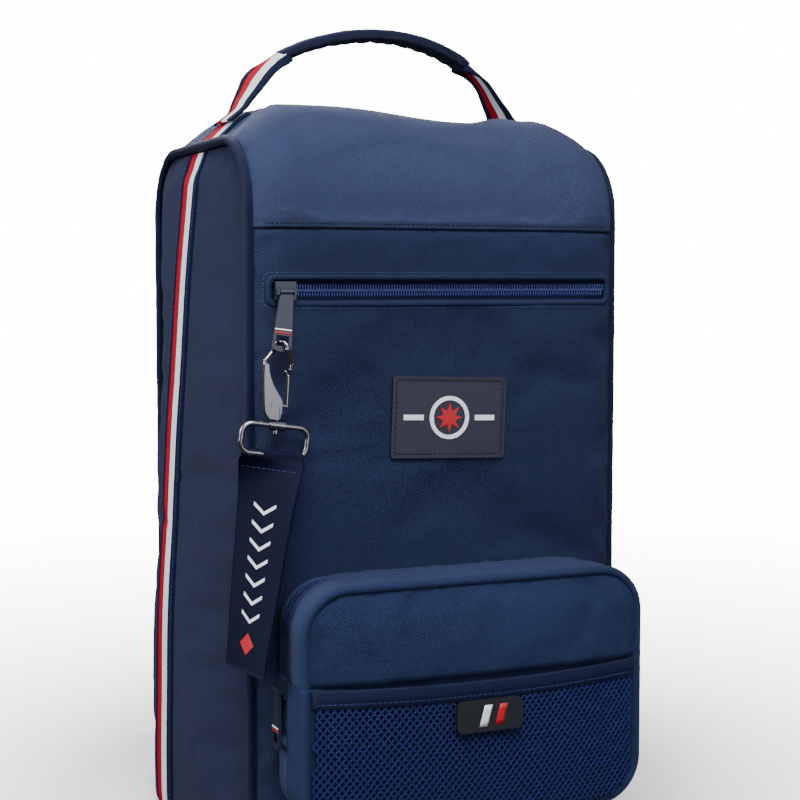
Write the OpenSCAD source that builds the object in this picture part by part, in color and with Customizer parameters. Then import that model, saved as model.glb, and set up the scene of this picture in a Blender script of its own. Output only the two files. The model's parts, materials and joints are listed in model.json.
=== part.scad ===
// Upright boot and shoe bag: a padded fabric shell with a front slot pocket, a zipped cargo pocket
// with a mesh pocket on it, a full door in the back, a webbing handle and a hanging tag.
// Origin: centre of the base, on the floor. +Z up, the front faces -Y, +X is right seen from the front.

/* [Shell] */
// Width between the two side seams
body_w = 243; // [232:1:255]
// Depth between the front and back seams
body_d = 200; // [190:1:215]
// Height of the roof ridge
ridge_z = 451; // [446:1:456]
// Height of the side panels' arch
arch_z = 427; // [420:1:440]
// Corner radius of the side panels' arch
arch_r = 44; // [35:1:55]
// How far the front panel puffs out in front of its seams
front_puff = 17; // [12:1:17]
// How far the back panel puffs out behind its seams
back_puff = 8; // [5:1:8]
// How far each side bulges near the base
side_bulge = 23; // [12:1:24]
// Thickness of a padded wall
wall = 2.5; // [2:0.5:3]
// Outer diameter of the covered piping
piping_d = 6.5; // [5:0.5:6.5]
// Width of the striped webbing
webbing_w = 38; // [30:1:40]

/* [Front slot pocket] */
// Height of the zip's centre line
zip_z = 338; // [330:1:342]
// Height of the slot
slot_h = 14; // [13.5:0.5:16]

/* [Cargo pocket] */
// Half the width of the pocket, outside the gusset
pocket_half_w = 107.5; // [100:0.5:108]
// Bottom and top of the pocket
pocket_z0 = 27.5; // [24:0.5:30]
pocket_z1 = 169.5; // [166:0.5:174]
// Front face of the pocket, in front of the origin
pocket_front_y = 161; // [158:1:164]
// Height at which the lid folds forward
lid_fold_z = 115.3; // [114.8:0.1:116]
// How far the mesh pocket bows out
mesh_bow = 12.5; // [8:0.5:14]

/* [Back door] */
// Half the width of the door
door_half_w = 93; // [88:1:93]
// Top of the door
door_z1 = 372; // [360:1:372]
// Bottom of the door
door_z0 = 31; // [30:1:34]

/* [Handle] */
// Height of the grip's top
handle_top = 509; // [500:1:512]
// Half the span of the grip
grip_half_span = 70; // [62:1:72]

/* [Hanging tag] */
// Length of the tag below the ring
tag_len = 128; // [100:1:128]
// How far the puller leans to the left, in degrees
puller_lean = 8; // [0:1:10]
// How far the ring and tag lean to the left, in degrees
tag_lean = 8; // [0:1:9]

/* [Hidden] */

$fn = 48;
thin = 0.5;
side_slice = 0.4;
// Longer than any side of the bag, for cutting blocks.
far = 600;

navy = "#26365c";
navy_dark = "#1a2647";
navy_tape = "#20357a";
slate = "#4a5164";
steel = "#77787f";

// Shell: half widths of its sections, from the flat ridge out to the seam.
seam_x = body_w / 2 - wall;
crown_x = seam_x - 15;
ridge_x = 88;
SECTIONS = [ridge_x, crown_x, crown_x + 7, crown_x + 12, seam_x];
ridge_r = 75;
foot_r = 8;
foot_z = 18;
seam_z = 374;
back_seam_z = 400;
front_y = -body_d / 2 - front_puff;
back_y = body_d / 2 + back_puff;
panel_split_y = 60;

// Sides: the bulge fades out towards the arch and towards both seams.
BULGE_Z = [0, 40, 90, 140, 190, 240, 290, 340, 366, 397, arch_z];
bulge_start = 40;
foam_t = 2.7;
foam_half_w = 98;
board_t = 2.5;
board_half_w = 112;

// Piping lies in the seam, just outside the panels.
piping_off = piping_d / 2 + 0.15;
piping_x = seam_x + piping_d / 2 + 0.1;
piping_z0 = 10;
tape_t = 1.5;

// Zip chains, size 8, and the hardware on them.
chain_w = 8;
coil_t = 2.4;
zip_tape_y = -113;
slot_half_w = 110.5;
slider_w = 12.5;
slider_h = 10.8;
slider_t = 1.5;
pin_r = 1;
bore_r = 1.06;
knuckle_r = 1.9;
pin_rise = 2.5;
puller_t = 2.2;
puller_len = 37;
puller_top_w = 8.4;
puller_end_w = 12;
bar_drop = 33;
hole_w = 7.8;
hole_h = 6;
puller_tilt = 5.5;
front_slider_x = -103;
front_pin = [front_slider_x - 0.5, zip_tape_y - coil_t - 0.4 - slider_t - pin_rise, zip_z - 0.6];

// The clasp hangs from the bar below the puller's hole.
bar = [front_pin[0] - bar_drop * sin(puller_lean),
       front_pin[1] - bar_drop * cos(puller_lean) * sin(puller_tilt),
       front_pin[2] - bar_drop * cos(puller_lean) * cos(puller_tilt)];
clasp_lean = 4;
hook_r = 1.3;
hook_turn = 4.2;
hook_yaw = 50;
eye_drop = 44;
gate_pivot = [-3.3, -31.9];
gate_r = 1.1;
stem_r = 1.3;
socket_r = 2.6;
// Middle and radius of each round along the clasp's body, in (X, Z) from the bar.
BLADE = [[-8.6, -10, 1.3], [-8.4, -13, 1.4], [-7.8, -17, 1.9], [-6.6, -22, 2.8], [-4.9, -27, 4.1],
         [-3.3, -31.5, 5.3], [-3, -35, 5], [-2.2, -38, 3.5], [-1.2, -39.2, 2.4]];
socket_z = -40;
// Below this much under its socket the clasp's body is cut flat, clear of the eye's knuckle.
foot_cut = 0.35;
eye = [bar[0] - eye_drop * sin(clasp_lean), bar[1], bar[2] - eye_drop * cos(clasp_lean)];
wire_r = 1.7;
ring_w = 40;
ring_h = 17;
ring_r = 6;
strap_w = 38;
strap_t = 2.4;
ring_bar = [eye[0] - ring_h * sin(tag_lean), eye[1], eye[2] - ring_h * cos(tag_lean)];
tag_twist = 70;

patch_z = 261.5;
patch_half_w = 37.5;
patch_half_h = 24.5;
patch_t = 1.3;

// Cargo pocket.
pocket_r = 26;
pocket_wall = 2;
pocket_piping_r = 3;
pocket_piping_y = -pocket_front_y + 2;
band_front_y = pocket_piping_y + pocket_piping_r;
strip_y = -121.3;
split_y = -125.5;
chain_front_y = -129.5;
chain_z0 = 102;
lid_z0 = lid_fold_z + 0.5;
hem_z0 = 102;
hem_z1 = 114;
mesh_half_w = 104;
mesh_arc_r = (mesh_half_w * mesh_half_w + mesh_bow * mesh_bow) / (2 * mesh_bow);
mesh_y = -pocket_front_y - 0.1;
pocket_slider_z = 108;
pocket_pin = [-pocket_half_w - 0.6 - 0.4 - slider_t - pin_rise, split_y + 0.5, pocket_slider_z - 0.6];

// Back door.
door_r = 40;
door_chain_z = door_z1 + chain_w / 2;
back_slider_x = 8.5;
back_pin_y = back_y + 0.3 + 0.4 + slider_t + pin_rise;

// Handle.
grip_end_z = 486;
grip_t = 9;
grip_mid_top = handle_top - grip_t / 2;
grip_sag = grip_mid_top - grip_end_z;
grip_arc_r = (grip_half_span * grip_half_span + grip_sag * grip_sag) / (2 * grip_sag);
grip_angle = asin(grip_half_span / grip_arc_r);
leg_base_x = 92;
leg_base_z = ridge_z + 9.5;

// ---- shared shapes ----

function arc(cx, cy, r, a0, a1, n) =
    [for (i = [0:n]) let (a = a0 + (a1 - a0) * i / n) [cx + r * cos(a), cy + r * sin(a)]];

// Side outline in (Y, Z): round top corners and small bottom ones.
module side_outline(front, back, top, r, bottom) {
    polygon(concat(
        arc(back - foot_r, bottom + foot_r, foot_r, -90, 0, 4),
        arc(back - r, top - r, r, 0, 90, 8),
        arc(front + r, top - r, r, 90, 180, 8),
        arc(front + foot_r, bottom + foot_r, foot_r, 180, 270, 4)));
}

module along_x(x0, length) {
    translate([x0, 0, 0]) rotate([90, 0, 90]) linear_extrude(length) children();
}

// Extrudes a profile drawn in (X, Z) from y0 back to y1.
module along_y(y0, y1) {
    translate([0, y1, 0]) rotate([90, 0, 0]) linear_extrude(y1 - y0) children();
}

module rod(a, b, r) {
    d = b - a;
    len = norm(d);
    translate(a) rotate([0, acos(d[2] / len), atan2(d[1], d[0])]) cylinder(r = r, h = len);
}

// Rounded rectangle in a drawing plane, as exact squares and circles.
module round_rect(x0, z0, x1, z1, r) {
    translate([x0 + r, z0]) square([x1 - x0 - 2 * r, z1 - z0]);
    translate([x0, z0 + r]) square([x1 - x0, z1 - z0 - 2 * r]);
    for (x = [x0 + r, x1 - r], z = [z0 + r, z1 - r]) translate([x, z]) circle(r);
}

// ---- shell ----

function puff(x) = x <= crown_x ? 1 : sqrt(max(0, 1 - pow((x - crown_x) / (seam_x - crown_x), 2)));
function slope(x) = x <= ridge_x ? 0 : (x - ridge_x) / (seam_x - ridge_x);
function roof_z(x) = ridge_z - (ridge_z - arch_z) * pow(slope(x), 1.4);

module body_hull(inset) {
    hull()
        for (x = SECTIONS, s = [-1, 1])
            along_x(s * x - thin / 2, thin)
                side_outline(-body_d / 2 - front_puff * puff(x) + inset,
                             body_d / 2 + back_puff * puff(x) - inset, roof_z(x) - inset,
                             ridge_r + (arch_r - ridge_r) * slope(x) - inset, inset);
}

module shell() {
    difference() {
        body_hull(0);
        body_hull(wall);
        along_x(-seam_x - 1, 2 * seam_x + 2)
            side_outline(-body_d / 2 + wall, body_d / 2 - wall, arch_z - wall, arch_r - wall, wall);
    }
}

module slab(y0, y1, z0, z1) {
    translate([-seam_x, y0, z0]) cube([2 * seam_x, y1 - y0, z1 - z0]);
}

module front_panel() {
    color(navy_dark) difference() {
        intersection() {
            shell();
            slab(-far / 2, -panel_split_y, foot_z, seam_z);
        }
        along_y(-far / 2, -panel_split_y)
            round_rect(-slot_half_w, zip_z - slot_h / 2, slot_half_w, zip_z + slot_h / 2, 2);
    }
}

module shoulder_panel() {
    color(navy) intersection() {
        shell();
        along_x(-seam_x, 2 * seam_x)
            polygon([[-far / 2, seam_z], [0, seam_z], [10, back_seam_z], [far / 2, back_seam_z],
                     [far / 2, far], [-far / 2, far]]);
    }
}

module back_frame() {
    color(navy) difference() {
        intersection() {
            shell();
            slab(panel_split_y, far / 2, foot_z, back_seam_z);
        }
        along_y(panel_split_y, far / 2) door_outline(chain_w, -1);
    }
}

module base_panel() {
    color(navy_dark) intersection() {
        shell();
        slab(-far / 2, far / 2, -1, foot_z);
    }
}

module base_board() {
    color("dimgray") translate([-board_half_w, front_y + 13, wall + 0.2])
        cube([2 * board_half_w, back_y - front_y - 23, board_t]);
}

function bulge(z) = z <= bulge_start ? side_bulge
    : side_bulge * (1 - pow((z - bulge_start) / (arch_z - bulge_start), 1.5));

module side_hull(inset) {
    base_x = seam_x - (inset > 0 ? 10 : 0);
    hull()
        for (z = BULGE_Z)
            translate([0, 0, max(z, inset)]) linear_extrude(side_slice)
                polygon(concat([[base_x, -body_d / 2], [base_x, body_d / 2]],
                    [for (i = [8:-1:-8]) let (t = i / 8)
                        [seam_x + wall - inset + bulge(z) * (1 - t * t), body_d / 2 * t]]));
}

module side_panel(side) {
    color(navy) mirror([side < 0 ? 1 : 0, 0, 0]) difference() {
        intersection() {
            side_hull(0);
            along_x(seam_x, 60) side_outline(-body_d / 2, body_d / 2, arch_z, arch_r, 0);
        }
        intersection() {
            side_hull(wall);
            along_x(seam_x - 10, 60)
                side_outline(-body_d / 2 + wall, body_d / 2 - wall, arch_z - wall, arch_r - wall, wall);
        }
    }
}

module piping(side) {
    half = body_d / 2 + piping_off;
    top = arch_z + piping_off;
    bend = arch_r + piping_off;
    r = piping_d / 2;
    color(navy) translate([side * piping_x, 0, 0]) {
        for (s = [0, 1]) mirror([0, s, 0]) {
            translate([0, half, piping_z0]) cylinder(r = r, h = top - bend - piping_z0);
            translate([0, half - bend, top - bend]) rotate([90, 0, 90])
                rotate_extrude(angle = 90) translate([bend, 0]) circle(r);
        }
        translate([0, bend - half, top]) rotate([-90, 0, 0]) cylinder(r = r, h = 2 * (half - bend));
    }
}

// The tape runs up the side, under the piping and on over the roof to the handle.
module webbing(side) {
    stations = concat(6, [for (z = BULGE_Z) if (z > 6 && z < arch_z) z], arch_z - 2);
    up = [for (z = stations) [seam_x + wall + bulge(z) + 0.15, z]];
    over = [for (x = SECTIONS) if (x < seam_x - 1.5) [x, roof_z(x) + 0.3]];
    color("firebrick") mirror([side < 0 ? 1 : 0, 0, 0]) along_y(-webbing_w / 2, webbing_w / 2) {
        polygon(concat(up, [for (i = [len(up) - 1:-1:0]) up[i] + [tape_t, 0]]));
        polygon(concat(over, [for (i = [len(over) - 1:-1:0]) over[i] + [0, tape_t]]));
    }
}

module front_foam() {
    color("lightgray") translate([-foam_half_w, front_y + wall + 3.9, 8])
        cube([2 * foam_half_w, foam_t, 360]);
}

module side_foam(side) {
    color("lightgray") along_x(side > 0 ? seam_x - foam_t - 0.3 : -seam_x + 0.3, foam_t)
        side_outline(-92, 92, arch_z - 9, 38, 8);
}

// ---- front slot pocket ----

module front_zip_tape() {
    color(navy_tape) translate([-109, zip_tape_y, zip_z - 15]) cube([218, 0.7, 30]);
}

module front_zip_coil() {
    color(navy_tape)
        for (s = [-1, 1])
            translate([-107.5, zip_tape_y - coil_t / 2, zip_z + s * 1.95]) rotate([0, 90, 0])
                linear_extrude(215) round_rect(-1.9, -coil_t / 2, 1.9, coil_t / 2, 1);
}

module front_pocket_pouch() {
    color("slategray") translate([-foam_half_w, zip_tape_y + 0.8, 130]) cube([2 * foam_half_w, 1.2, 192]);
}

// Slider lying in the (X, Z) plane with its outer side towards -Y and its lugs on that side.
module slider_body(flange) {
    translate([-slider_w / 2, -slider_t, -slider_h / 2]) cube([slider_w, slider_t, slider_h]);
    for (s = [-1, 1]) {
        translate([-slider_w / 2, -slider_t, s * (slider_h / 2 - 0.6) - 0.6])
            cube([slider_w, slider_t + flange, 1.2]);
        translate([s * 5.2 - 0.75 - 0.5, -slider_t - pin_rise - 1.4, -2.2]) cube([1.5, pin_rise + 1.4, 3.2]);
    }
    translate([-5.9, -slider_t - pin_rise, -0.6]) rotate([0, 90, 0]) cylinder(r = pin_r, h = 10.8);
}

// Puller hanging from a pin along X at the origin, with a slot over the pin and a hole at its end.
module puller_body(lean, tilt) {
    difference() {
        union() {
            translate([-4, 0, 0]) rotate([0, 90, 0]) cylinder(r = knuckle_r, h = 8);
            rotate([-tilt, 0, 0]) rotate([0, lean, 0]) difference() {
                along_y(-puller_t / 2, puller_t / 2) polygon([
                    [-puller_top_w / 2, -5], [-puller_top_w / 2 + 0.9, -0.5],
                    [puller_top_w / 2 - 0.9, -0.5], [puller_top_w / 2, -5],
                    [puller_end_w / 2, -puller_len + 4.4], [puller_end_w / 2 - 3.4, -puller_len + 2.4],
                    [-puller_end_w / 2 + 3.4, -puller_len + 2.4], [-puller_end_w / 2, -puller_len + 4.4]]);
                translate([-hole_w / 2, -puller_t, -bar_drop + 1.6]) cube([hole_w, 2 * puller_t, hole_h]);
            }
        }
        translate([-6, 0, 0]) rotate([0, 90, 0]) cylinder(r = bore_r, h = 12);
    }
}

module front_slider() {
    color(slate) translate([front_slider_x, zip_tape_y - coil_t - 0.4, zip_z]) slider_body(coil_t);
}

module front_puller() {
    color(slate) translate(front_pin) puller_body(puller_lean, puller_tilt);
}

// ---- clasp, ring and tag ----

module in_clasp() {
    translate(bar) rotate([0, clasp_lean, 0]) children();
}

// The clasp's flat body: a slim left arm that widens in an S curve into a drop round the rivet.
module blade_outline() {
    offset(r = -4) offset(r = 4) for (i = [0:len(BLADE) - 2])
        hull() for (b = [BLADE[i], BLADE[i + 1]]) translate([b[0], b[1]]) circle(b[2]);
}

// Hook: half a turn through the puller's hole, then the long left arm and the short right tip.
module clasp_body() {
    crown_in = [-hook_turn * cos(hook_yaw), hook_turn * sin(hook_yaw), 0];
    color(steel) in_clasp() difference() {
        union() {
            rotate([0, 0, -hook_yaw]) rotate([90, 0, 0])
                rotate_extrude(angle = 180) translate([hook_turn, 0]) circle(hook_r);
            for (s = [-1, 1]) translate(s * crown_in) sphere(1.06 * hook_r);
            sphere_rod(crown_in, [-8.6, 1.4, -7], hook_r);
            sphere_rod([-8.6, 1.4, -7], [-8.6, 0, -12], hook_r);
            sphere_rod(-crown_in, [6, -1.2, -4.5], hook_r);
            sphere_rod([6, -1.2, -4.5], [7.2, -0.4, -8.5], hook_r);
            sphere_rod([7.2, -0.4, -8.5], [6.6, 0, -11.6], hook_r);
            along_y(-2.5, 2.5) blade_outline();
            translate([0, 0, socket_z]) cylinder(r = socket_r, h = 7);
        }
        translate([gate_pivot[0], 0, gate_pivot[1]]) rotate([90, 0, 0])
            cylinder(r = pin_r, h = 12, center = true);
        translate([gate_pivot[0] - 2.9, -1.4, gate_pivot[1] - 3.4]) cube([18, 2.8, 15]);
        translate([0, 0, socket_z - 1]) cylinder(r = stem_r + 0.05, h = 3.6);
        translate([0, 0, socket_z + 2.5]) cylinder(r = stem_r + 0.65, h = 2.4);
        translate([0, 0, socket_z - foot_cut - 4]) cube([20, 20, 8], center = true);
    }
}

module sphere_rod(a, b, r) {
    rod(a, b, r);
    translate(b) sphere(1.06 * r);
}

module clasp_rivet() {
    color(steel) in_clasp() translate([gate_pivot[0], 0, gate_pivot[1]]) rotate([90, 0, 0]) {
        cylinder(r = pin_r, h = 5, center = true);
        for (s = [-1, 1]) translate([0, 0, s * 2.8]) cylinder(r = 1.6, h = 0.6, center = true);
    }
}

module clasp_gate() {
    color(steel) in_clasp() difference() {
        union() {
            translate([gate_pivot[0], 0, gate_pivot[1]]) rotate([90, 0, 0])
                cylinder(r = 2.3, h = 2.2, center = true);
            sphere_rod([gate_pivot[0] + 1, 0, gate_pivot[1]], [5.5, 0, -33], gate_r);
            sphere_rod([5.5, 0, -33], [5.4, 0, -15.6], gate_r);
            sphere_rod([5.4, 0, -15.6], [3.6, 0, -12.9], 0.8);
        }
        translate([gate_pivot[0], 0, gate_pivot[1]]) rotate([90, 0, 0])
            cylinder(r = bore_r, h = 12, center = true);
    }
}

module swivel_eye() {
    color(steel) {
        in_clasp() {
            translate([0, 0, socket_z + 2.7]) cylinder(r = stem_r + 0.6, h = 2);
            translate([0, 0, socket_z - 1.7]) cylinder(r = stem_r, h = 5);
        }
        translate(eye) rotate([0, tag_lean, 0]) difference() {
            union() {
                rotate([0, 90, 0]) cylinder(r = 3, h = 9, center = true);
                translate([0, 0, -4.8]) cylinder(r = 1.7, h = 3);
            }
            rotate([0, 90, 0]) cylinder(r = wire_r + 0.06, h = 12, center = true);
        }
    }
}

module swivel_ring() {
    half = ring_w / 2;
    color(steel) translate(eye) rotate([0, tag_lean, 0]) {
        for (z = [0, -ring_h])
            translate([-half + ring_r, 0, z]) rotate([0, 90, 0])
                cylinder(r = wire_r, h = ring_w - 2 * ring_r);
        for (s = [-1, 1])
            translate([s * half, 0, -ring_h + ring_r]) cylinder(r = wire_r, h = ring_h - 2 * ring_r);
        for (q = [0:3]) {
            x = (q == 0 || q == 3 ? 1 : -1) * (half - ring_r);
            z = q < 2 ? -ring_r : -ring_h + ring_r;
            translate([x, 0, z]) rotate([90, 0, 0]) rotate([0, 0, 90 * q])
                rotate_extrude(angle = 90) translate([ring_r, 0]) circle(wire_r);
        }
    }
}

// The strap is folded over the ring's lower bar and twists to face left as it hangs.
module tag_strap() {
    color(navy_dark) translate(ring_bar) rotate([0, tag_lean, 0]) difference() {
        union() {
            rotate([0, 90, 0]) cylinder(r = wire_r + 1.26, h = ring_w - 2 * ring_r - 0.4, center = true);
            translate([0, 0, -tag_len]) rotate([0, 0, -tag_twist])
                linear_extrude(tag_len - 2, twist = -tag_twist, slices = 24, segments = 4)
                    square([strap_w, strap_t], center = true);
        }
        rotate([0, 90, 0]) cylinder(r = wire_r + 0.06, h = 60, center = true);
    }
}

// ---- patch ----

module on_patch() {
    translate([0, front_y - 0.05, patch_z]) rotate([0, 2, 0]) children();
}

module patch_outline(inset) {
    round_rect(-patch_half_w + inset, -patch_half_h + inset, patch_half_w - inset, patch_half_h - inset,
               1.8 - inset / 2);
}

module patch() {
    color(slate) on_patch() {
        along_y(-patch_t, 0) patch_outline(0);
        along_y(-patch_t - 0.45, -patch_t + 0.1) difference() {
            patch_outline(0);
            patch_outline(1.3);
        }
    }
}

// A ring between two bars, and an eight-pointed star inside the ring.
module patch_emblem_white() {
    color("white") on_patch() along_y(-patch_t - 0.5, -patch_t) {
        difference() {
            circle(13);
            circle(10.5);
        }
        for (s = [-1, 1]) translate([s * 23.5 - 6.5, -1.6]) square([13, 3.2]);
    }
}

module patch_emblem_red() {
    color("crimson") on_patch() along_y(-patch_t - 0.5, -patch_t)
        polygon([for (i = [0:15]) let (r = i % 2 == 0 ? 9 : 4.2) [r * sin(22.5 * i), r * cos(22.5 * i)]]);
}

// ---- cargo pocket ----

module pocket_outline(inset) {
    round_rect(-pocket_half_w + inset, pocket_z0 + inset, pocket_half_w - inset, pocket_z1 - inset,
               pocket_r - inset);
}

module pocket_band(y0, y1, outer, inner) {
    along_y(y0, y1) difference() {
        pocket_outline(outer);
        pocket_outline(inner);
    }
}

module above(z) {
    translate([-far / 2, -far / 2, z]) cube(far);
}

module below(z) {
    translate([-far / 2, -far / 2, z - far]) cube(far);
}

module pocket_gusset() {
    color(navy) difference() {
        intersection() {
            pocket_band(band_front_y, -90, 0, pocket_wall);
            below(lid_fold_z);
        }
        body_hull(0);
        translate([-far, chain_front_y - 0.1, chain_z0 - 0.1]) cube([2 * far, far, far]);
    }
}

module pocket_back_strip() {
    color(navy) difference() {
        intersection() {
            pocket_band(strip_y, -90, 0, pocket_wall);
            above(chain_z0);
        }
        body_hull(0);
    }
}

module pocket_zip_fixed() {
    color(navy_tape) {
        intersection() {
            pocket_band(split_y + 0.1, strip_y - 0.1, -0.6, pocket_wall - 0.4);
            above(lid_z0);
        }
        intersection() {
            pocket_band(chain_front_y, strip_y - 0.1, -0.6, pocket_wall - 0.4);
            above(chain_z0);
            below(lid_fold_z);
        }
    }
}

module pocket_front() {
    color(navy_dark) intersection() {
        along_y(-pocket_front_y, -pocket_front_y + 1.8) pocket_outline(pocket_piping_r);
        below(lid_fold_z);
    }
}

module pocket_tube(side_z0, side_z1, corner_z, end) {
    x = pocket_half_w;
    for (s = [0, 1]) mirror([s, 0, 0]) {
        translate([x, pocket_piping_y, side_z0]) cylinder(r = pocket_piping_r, h = side_z1 - side_z0);
        translate([x - pocket_r, pocket_piping_y, corner_z]) rotate([90, 0, 0])
            rotate([0, 0, end > 0 ? 0 : -90])
                rotate_extrude(angle = 90) translate([pocket_r, 0]) circle(pocket_piping_r);
    }
    translate([-x + pocket_r, pocket_piping_y, corner_z + end * pocket_r]) rotate([0, 90, 0])
        cylinder(r = pocket_piping_r, h = 2 * (x - pocket_r));
}

module pocket_piping() {
    color(navy) pocket_tube(pocket_z0 + pocket_r, lid_fold_z, pocket_z0 + pocket_r, -1);
}

// Sector of an upright cylinder that bows out in front of the pocket.
module bowed_wall(z0, z1, outer, inner) {
    intersection() {
        translate([0, mesh_y - mesh_bow + mesh_arc_r, z0]) difference() {
            cylinder(r = mesh_arc_r + outer, h = z1 - z0, $fn = 200);
            translate([0, 0, -1]) cylinder(r = mesh_arc_r - inner, h = z1 - z0 + 2, $fn = 200);
        }
        translate([-mesh_half_w, mesh_y - far, z0]) cube([2 * mesh_half_w, far, z1 - z0]);
    }
}

module pocket_mesh() {
    color("#2c2f7a") intersection() {
        union() {
            bowed_wall(pocket_z0 + 4, hem_z0, 0, 0.9);
            bowed_wall(pocket_z0 + 3, pocket_z0 + 4, 0, mesh_arc_r - 10);
        }
        along_y(-far / 2, 0) pocket_outline(pocket_piping_r + 0.3);
    }
}

module mesh_hem() {
    color(navy_dark) bowed_wall(hem_z0, hem_z1, 0.6, 1.2);
}

module hem_label() {
    y = mesh_y - mesh_bow - 0.65;
    color(navy_dark) along_y(y - 2, y) round_rect(-21, 84, 21, 103, 4);
}

module lid_panel() {
    color(navy_dark) intersection() {
        along_y(-pocket_front_y, -pocket_front_y + 1.8) pocket_outline(pocket_piping_r);
        above(lid_z0);
    }
}

module lid_gusset() {
    color(navy) intersection() {
        pocket_band(band_front_y, chain_front_y - 0.1, 0, pocket_wall);
        above(lid_z0);
    }
}

module lid_zip() {
    color(navy_tape) intersection() {
        pocket_band(chain_front_y, split_y - 0.1, -0.6, pocket_wall - 0.4);
        above(lid_z0);
    }
}

module lid_piping() {
    color(navy) pocket_tube(lid_z0, pocket_z1 - pocket_r, pocket_z1 - pocket_r, 1);
}

module lid_flap() {
    color(navy) {
        translate([-78, -137, pocket_z1 + 0.9]) cube([156, 18, 1.1]);
        translate([-78, -137, pocket_z1]) cube([156, 5, 1]);
    }
}

module pocket_slider() {
    color(slate) translate([-pocket_half_w - 0.6 - 0.4, split_y, pocket_slider_z]) rotate([0, 0, -90])
        slider_body(0);
}

module pocket_puller() {
    color(slate) translate(pocket_pin) rotate([0, 0, -90]) puller_body(0, 0);
}

// ---- back door ----

// Door outline in (X, Z): round top corners, and a straight bottom at the fold.
module door_outline(grow, drop) {
    w = door_half_w + grow;
    top = door_z1 + grow;
    r = door_r + grow;
    translate([-w, door_z0 + drop]) square([2 * w, top - r - door_z0 - drop]);
    translate([-w + r, door_z0 + drop]) square([2 * w - 2 * r, top - door_z0 - drop]);
    for (s = [-1, 1]) translate([s * (w - r), top - r]) circle(r);
}

module door_panel() {
    color(navy) intersection() {
        shell();
        along_y(panel_split_y, far / 2) door_outline(0, 0);
    }
}

module door_foam() {
    color("lightgray") along_y(back_y - wall - 3, back_y - wall - 0.4)
        round_rect(-88, door_z0 + 5, 88, door_z1 - 5, 12);
}

module door_chain(grow0, grow1) {
    along_y(back_y - 2.3, back_y + 0.3) difference() {
        door_outline(grow1, 0);
        door_outline(grow0, -1);
    }
}

module door_zip() {
    color(navy_tape) door_chain(0.05, chain_w / 2 - 0.2);
}

module back_zip_fixed() {
    color(navy_tape) door_chain(chain_w / 2 + 0.2, chain_w - 0.05);
}

module back_slider(side) {
    color(slate) translate([side * back_slider_x, back_y + 0.3 + 0.4, door_chain_z]) rotate([0, 0, 180])
        slider_body(0);
}

module back_puller(side) {
    color(slate) translate([side * back_slider_x + 0.5, back_pin_y, door_chain_z - 0.6]) rotate([0, 0, 180])
        puller_body(0, 0);
}

// ---- handle ----

module grip_ring(t, w) {
    translate([0, 0, grip_mid_top - grip_arc_r]) rotate([90, 0, 0]) rotate([0, 0, 90 - grip_angle])
        rotate_extrude(angle = 2 * grip_angle) translate([grip_arc_r - t / 2, -w / 2]) square([t, w]);
}

module handle_grip() {
    color(navy) difference() {
        grip_ring(grip_t, 22);
        grip_ring(3.2, 19.2);
    }
}

// Each leg narrows towards the roof, so that it clears the roof as the handle folds down.
module handle_webbing() {
    color("firebrick") {
        grip_ring(3, 19);
        for (s = [0, 1]) mirror([s, 0, 0]) intersection() {
            along_y(-webbing_w / 2, webbing_w / 2) polygon([
                [leg_base_x, leg_base_z], [leg_base_x - 3.2, leg_base_z],
                [grip_half_span - 0.6, grip_end_z - 1.2], [grip_half_span + 1.6, grip_end_z + 1]]);
            along_x(50, 60) polygon([
                [-3.6, leg_base_z], [3.6, leg_base_z], [11, leg_base_z + 13],
                [10.5, grip_end_z + 4], [-10.5, grip_end_z + 4], [-11, leg_base_z + 13]]);
        }
    }
}

front_panel();
shoulder_panel();
back_frame();
base_panel();
base_board();
side_panel(-1);  // side_panel_left
side_panel(1);  // side_panel_right
piping(-1);  // piping_left
piping(1);  // piping_right
webbing(-1);  // webbing_left
webbing(1);  // webbing_right
front_foam();
side_foam(-1);  // side_foam_left
side_foam(1);  // side_foam_right
front_zip_tape();
front_zip_coil();
front_pocket_pouch();
patch();
patch_emblem_white();
patch_emblem_red();
pocket_gusset();
pocket_front();
pocket_piping();
pocket_back_strip();
pocket_zip_fixed();
pocket_mesh();
mesh_hem();
hem_label();
back_zip_fixed();
handle_webbing();
handle_grip();
front_slider();
front_puller();
clasp_body();
clasp_rivet();
clasp_gate();
swivel_eye();
swivel_ring();
tag_strap();
lid_panel();
lid_gusset();
lid_piping();
lid_zip();
lid_flap();
pocket_slider();
pocket_puller();
door_panel();
door_foam();
door_zip();
back_slider(-1);  // back_slider_left
back_slider(1);  // back_slider_right
back_puller(-1);  // back_puller_left
back_puller(1);  // back_puller_right
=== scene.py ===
"""Looks of the upright boot and shoe bag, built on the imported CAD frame.

Lengths in this file are millimetres, in the CAD's frame: +Z up, the front faces -Y. They are turned
into metres where a mesh is made.
"""
import json
import math

import bpy
import numpy as np
from mathutils import Matrix, Vector, noise
from mathutils.bvhtree import BVHTree


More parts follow.
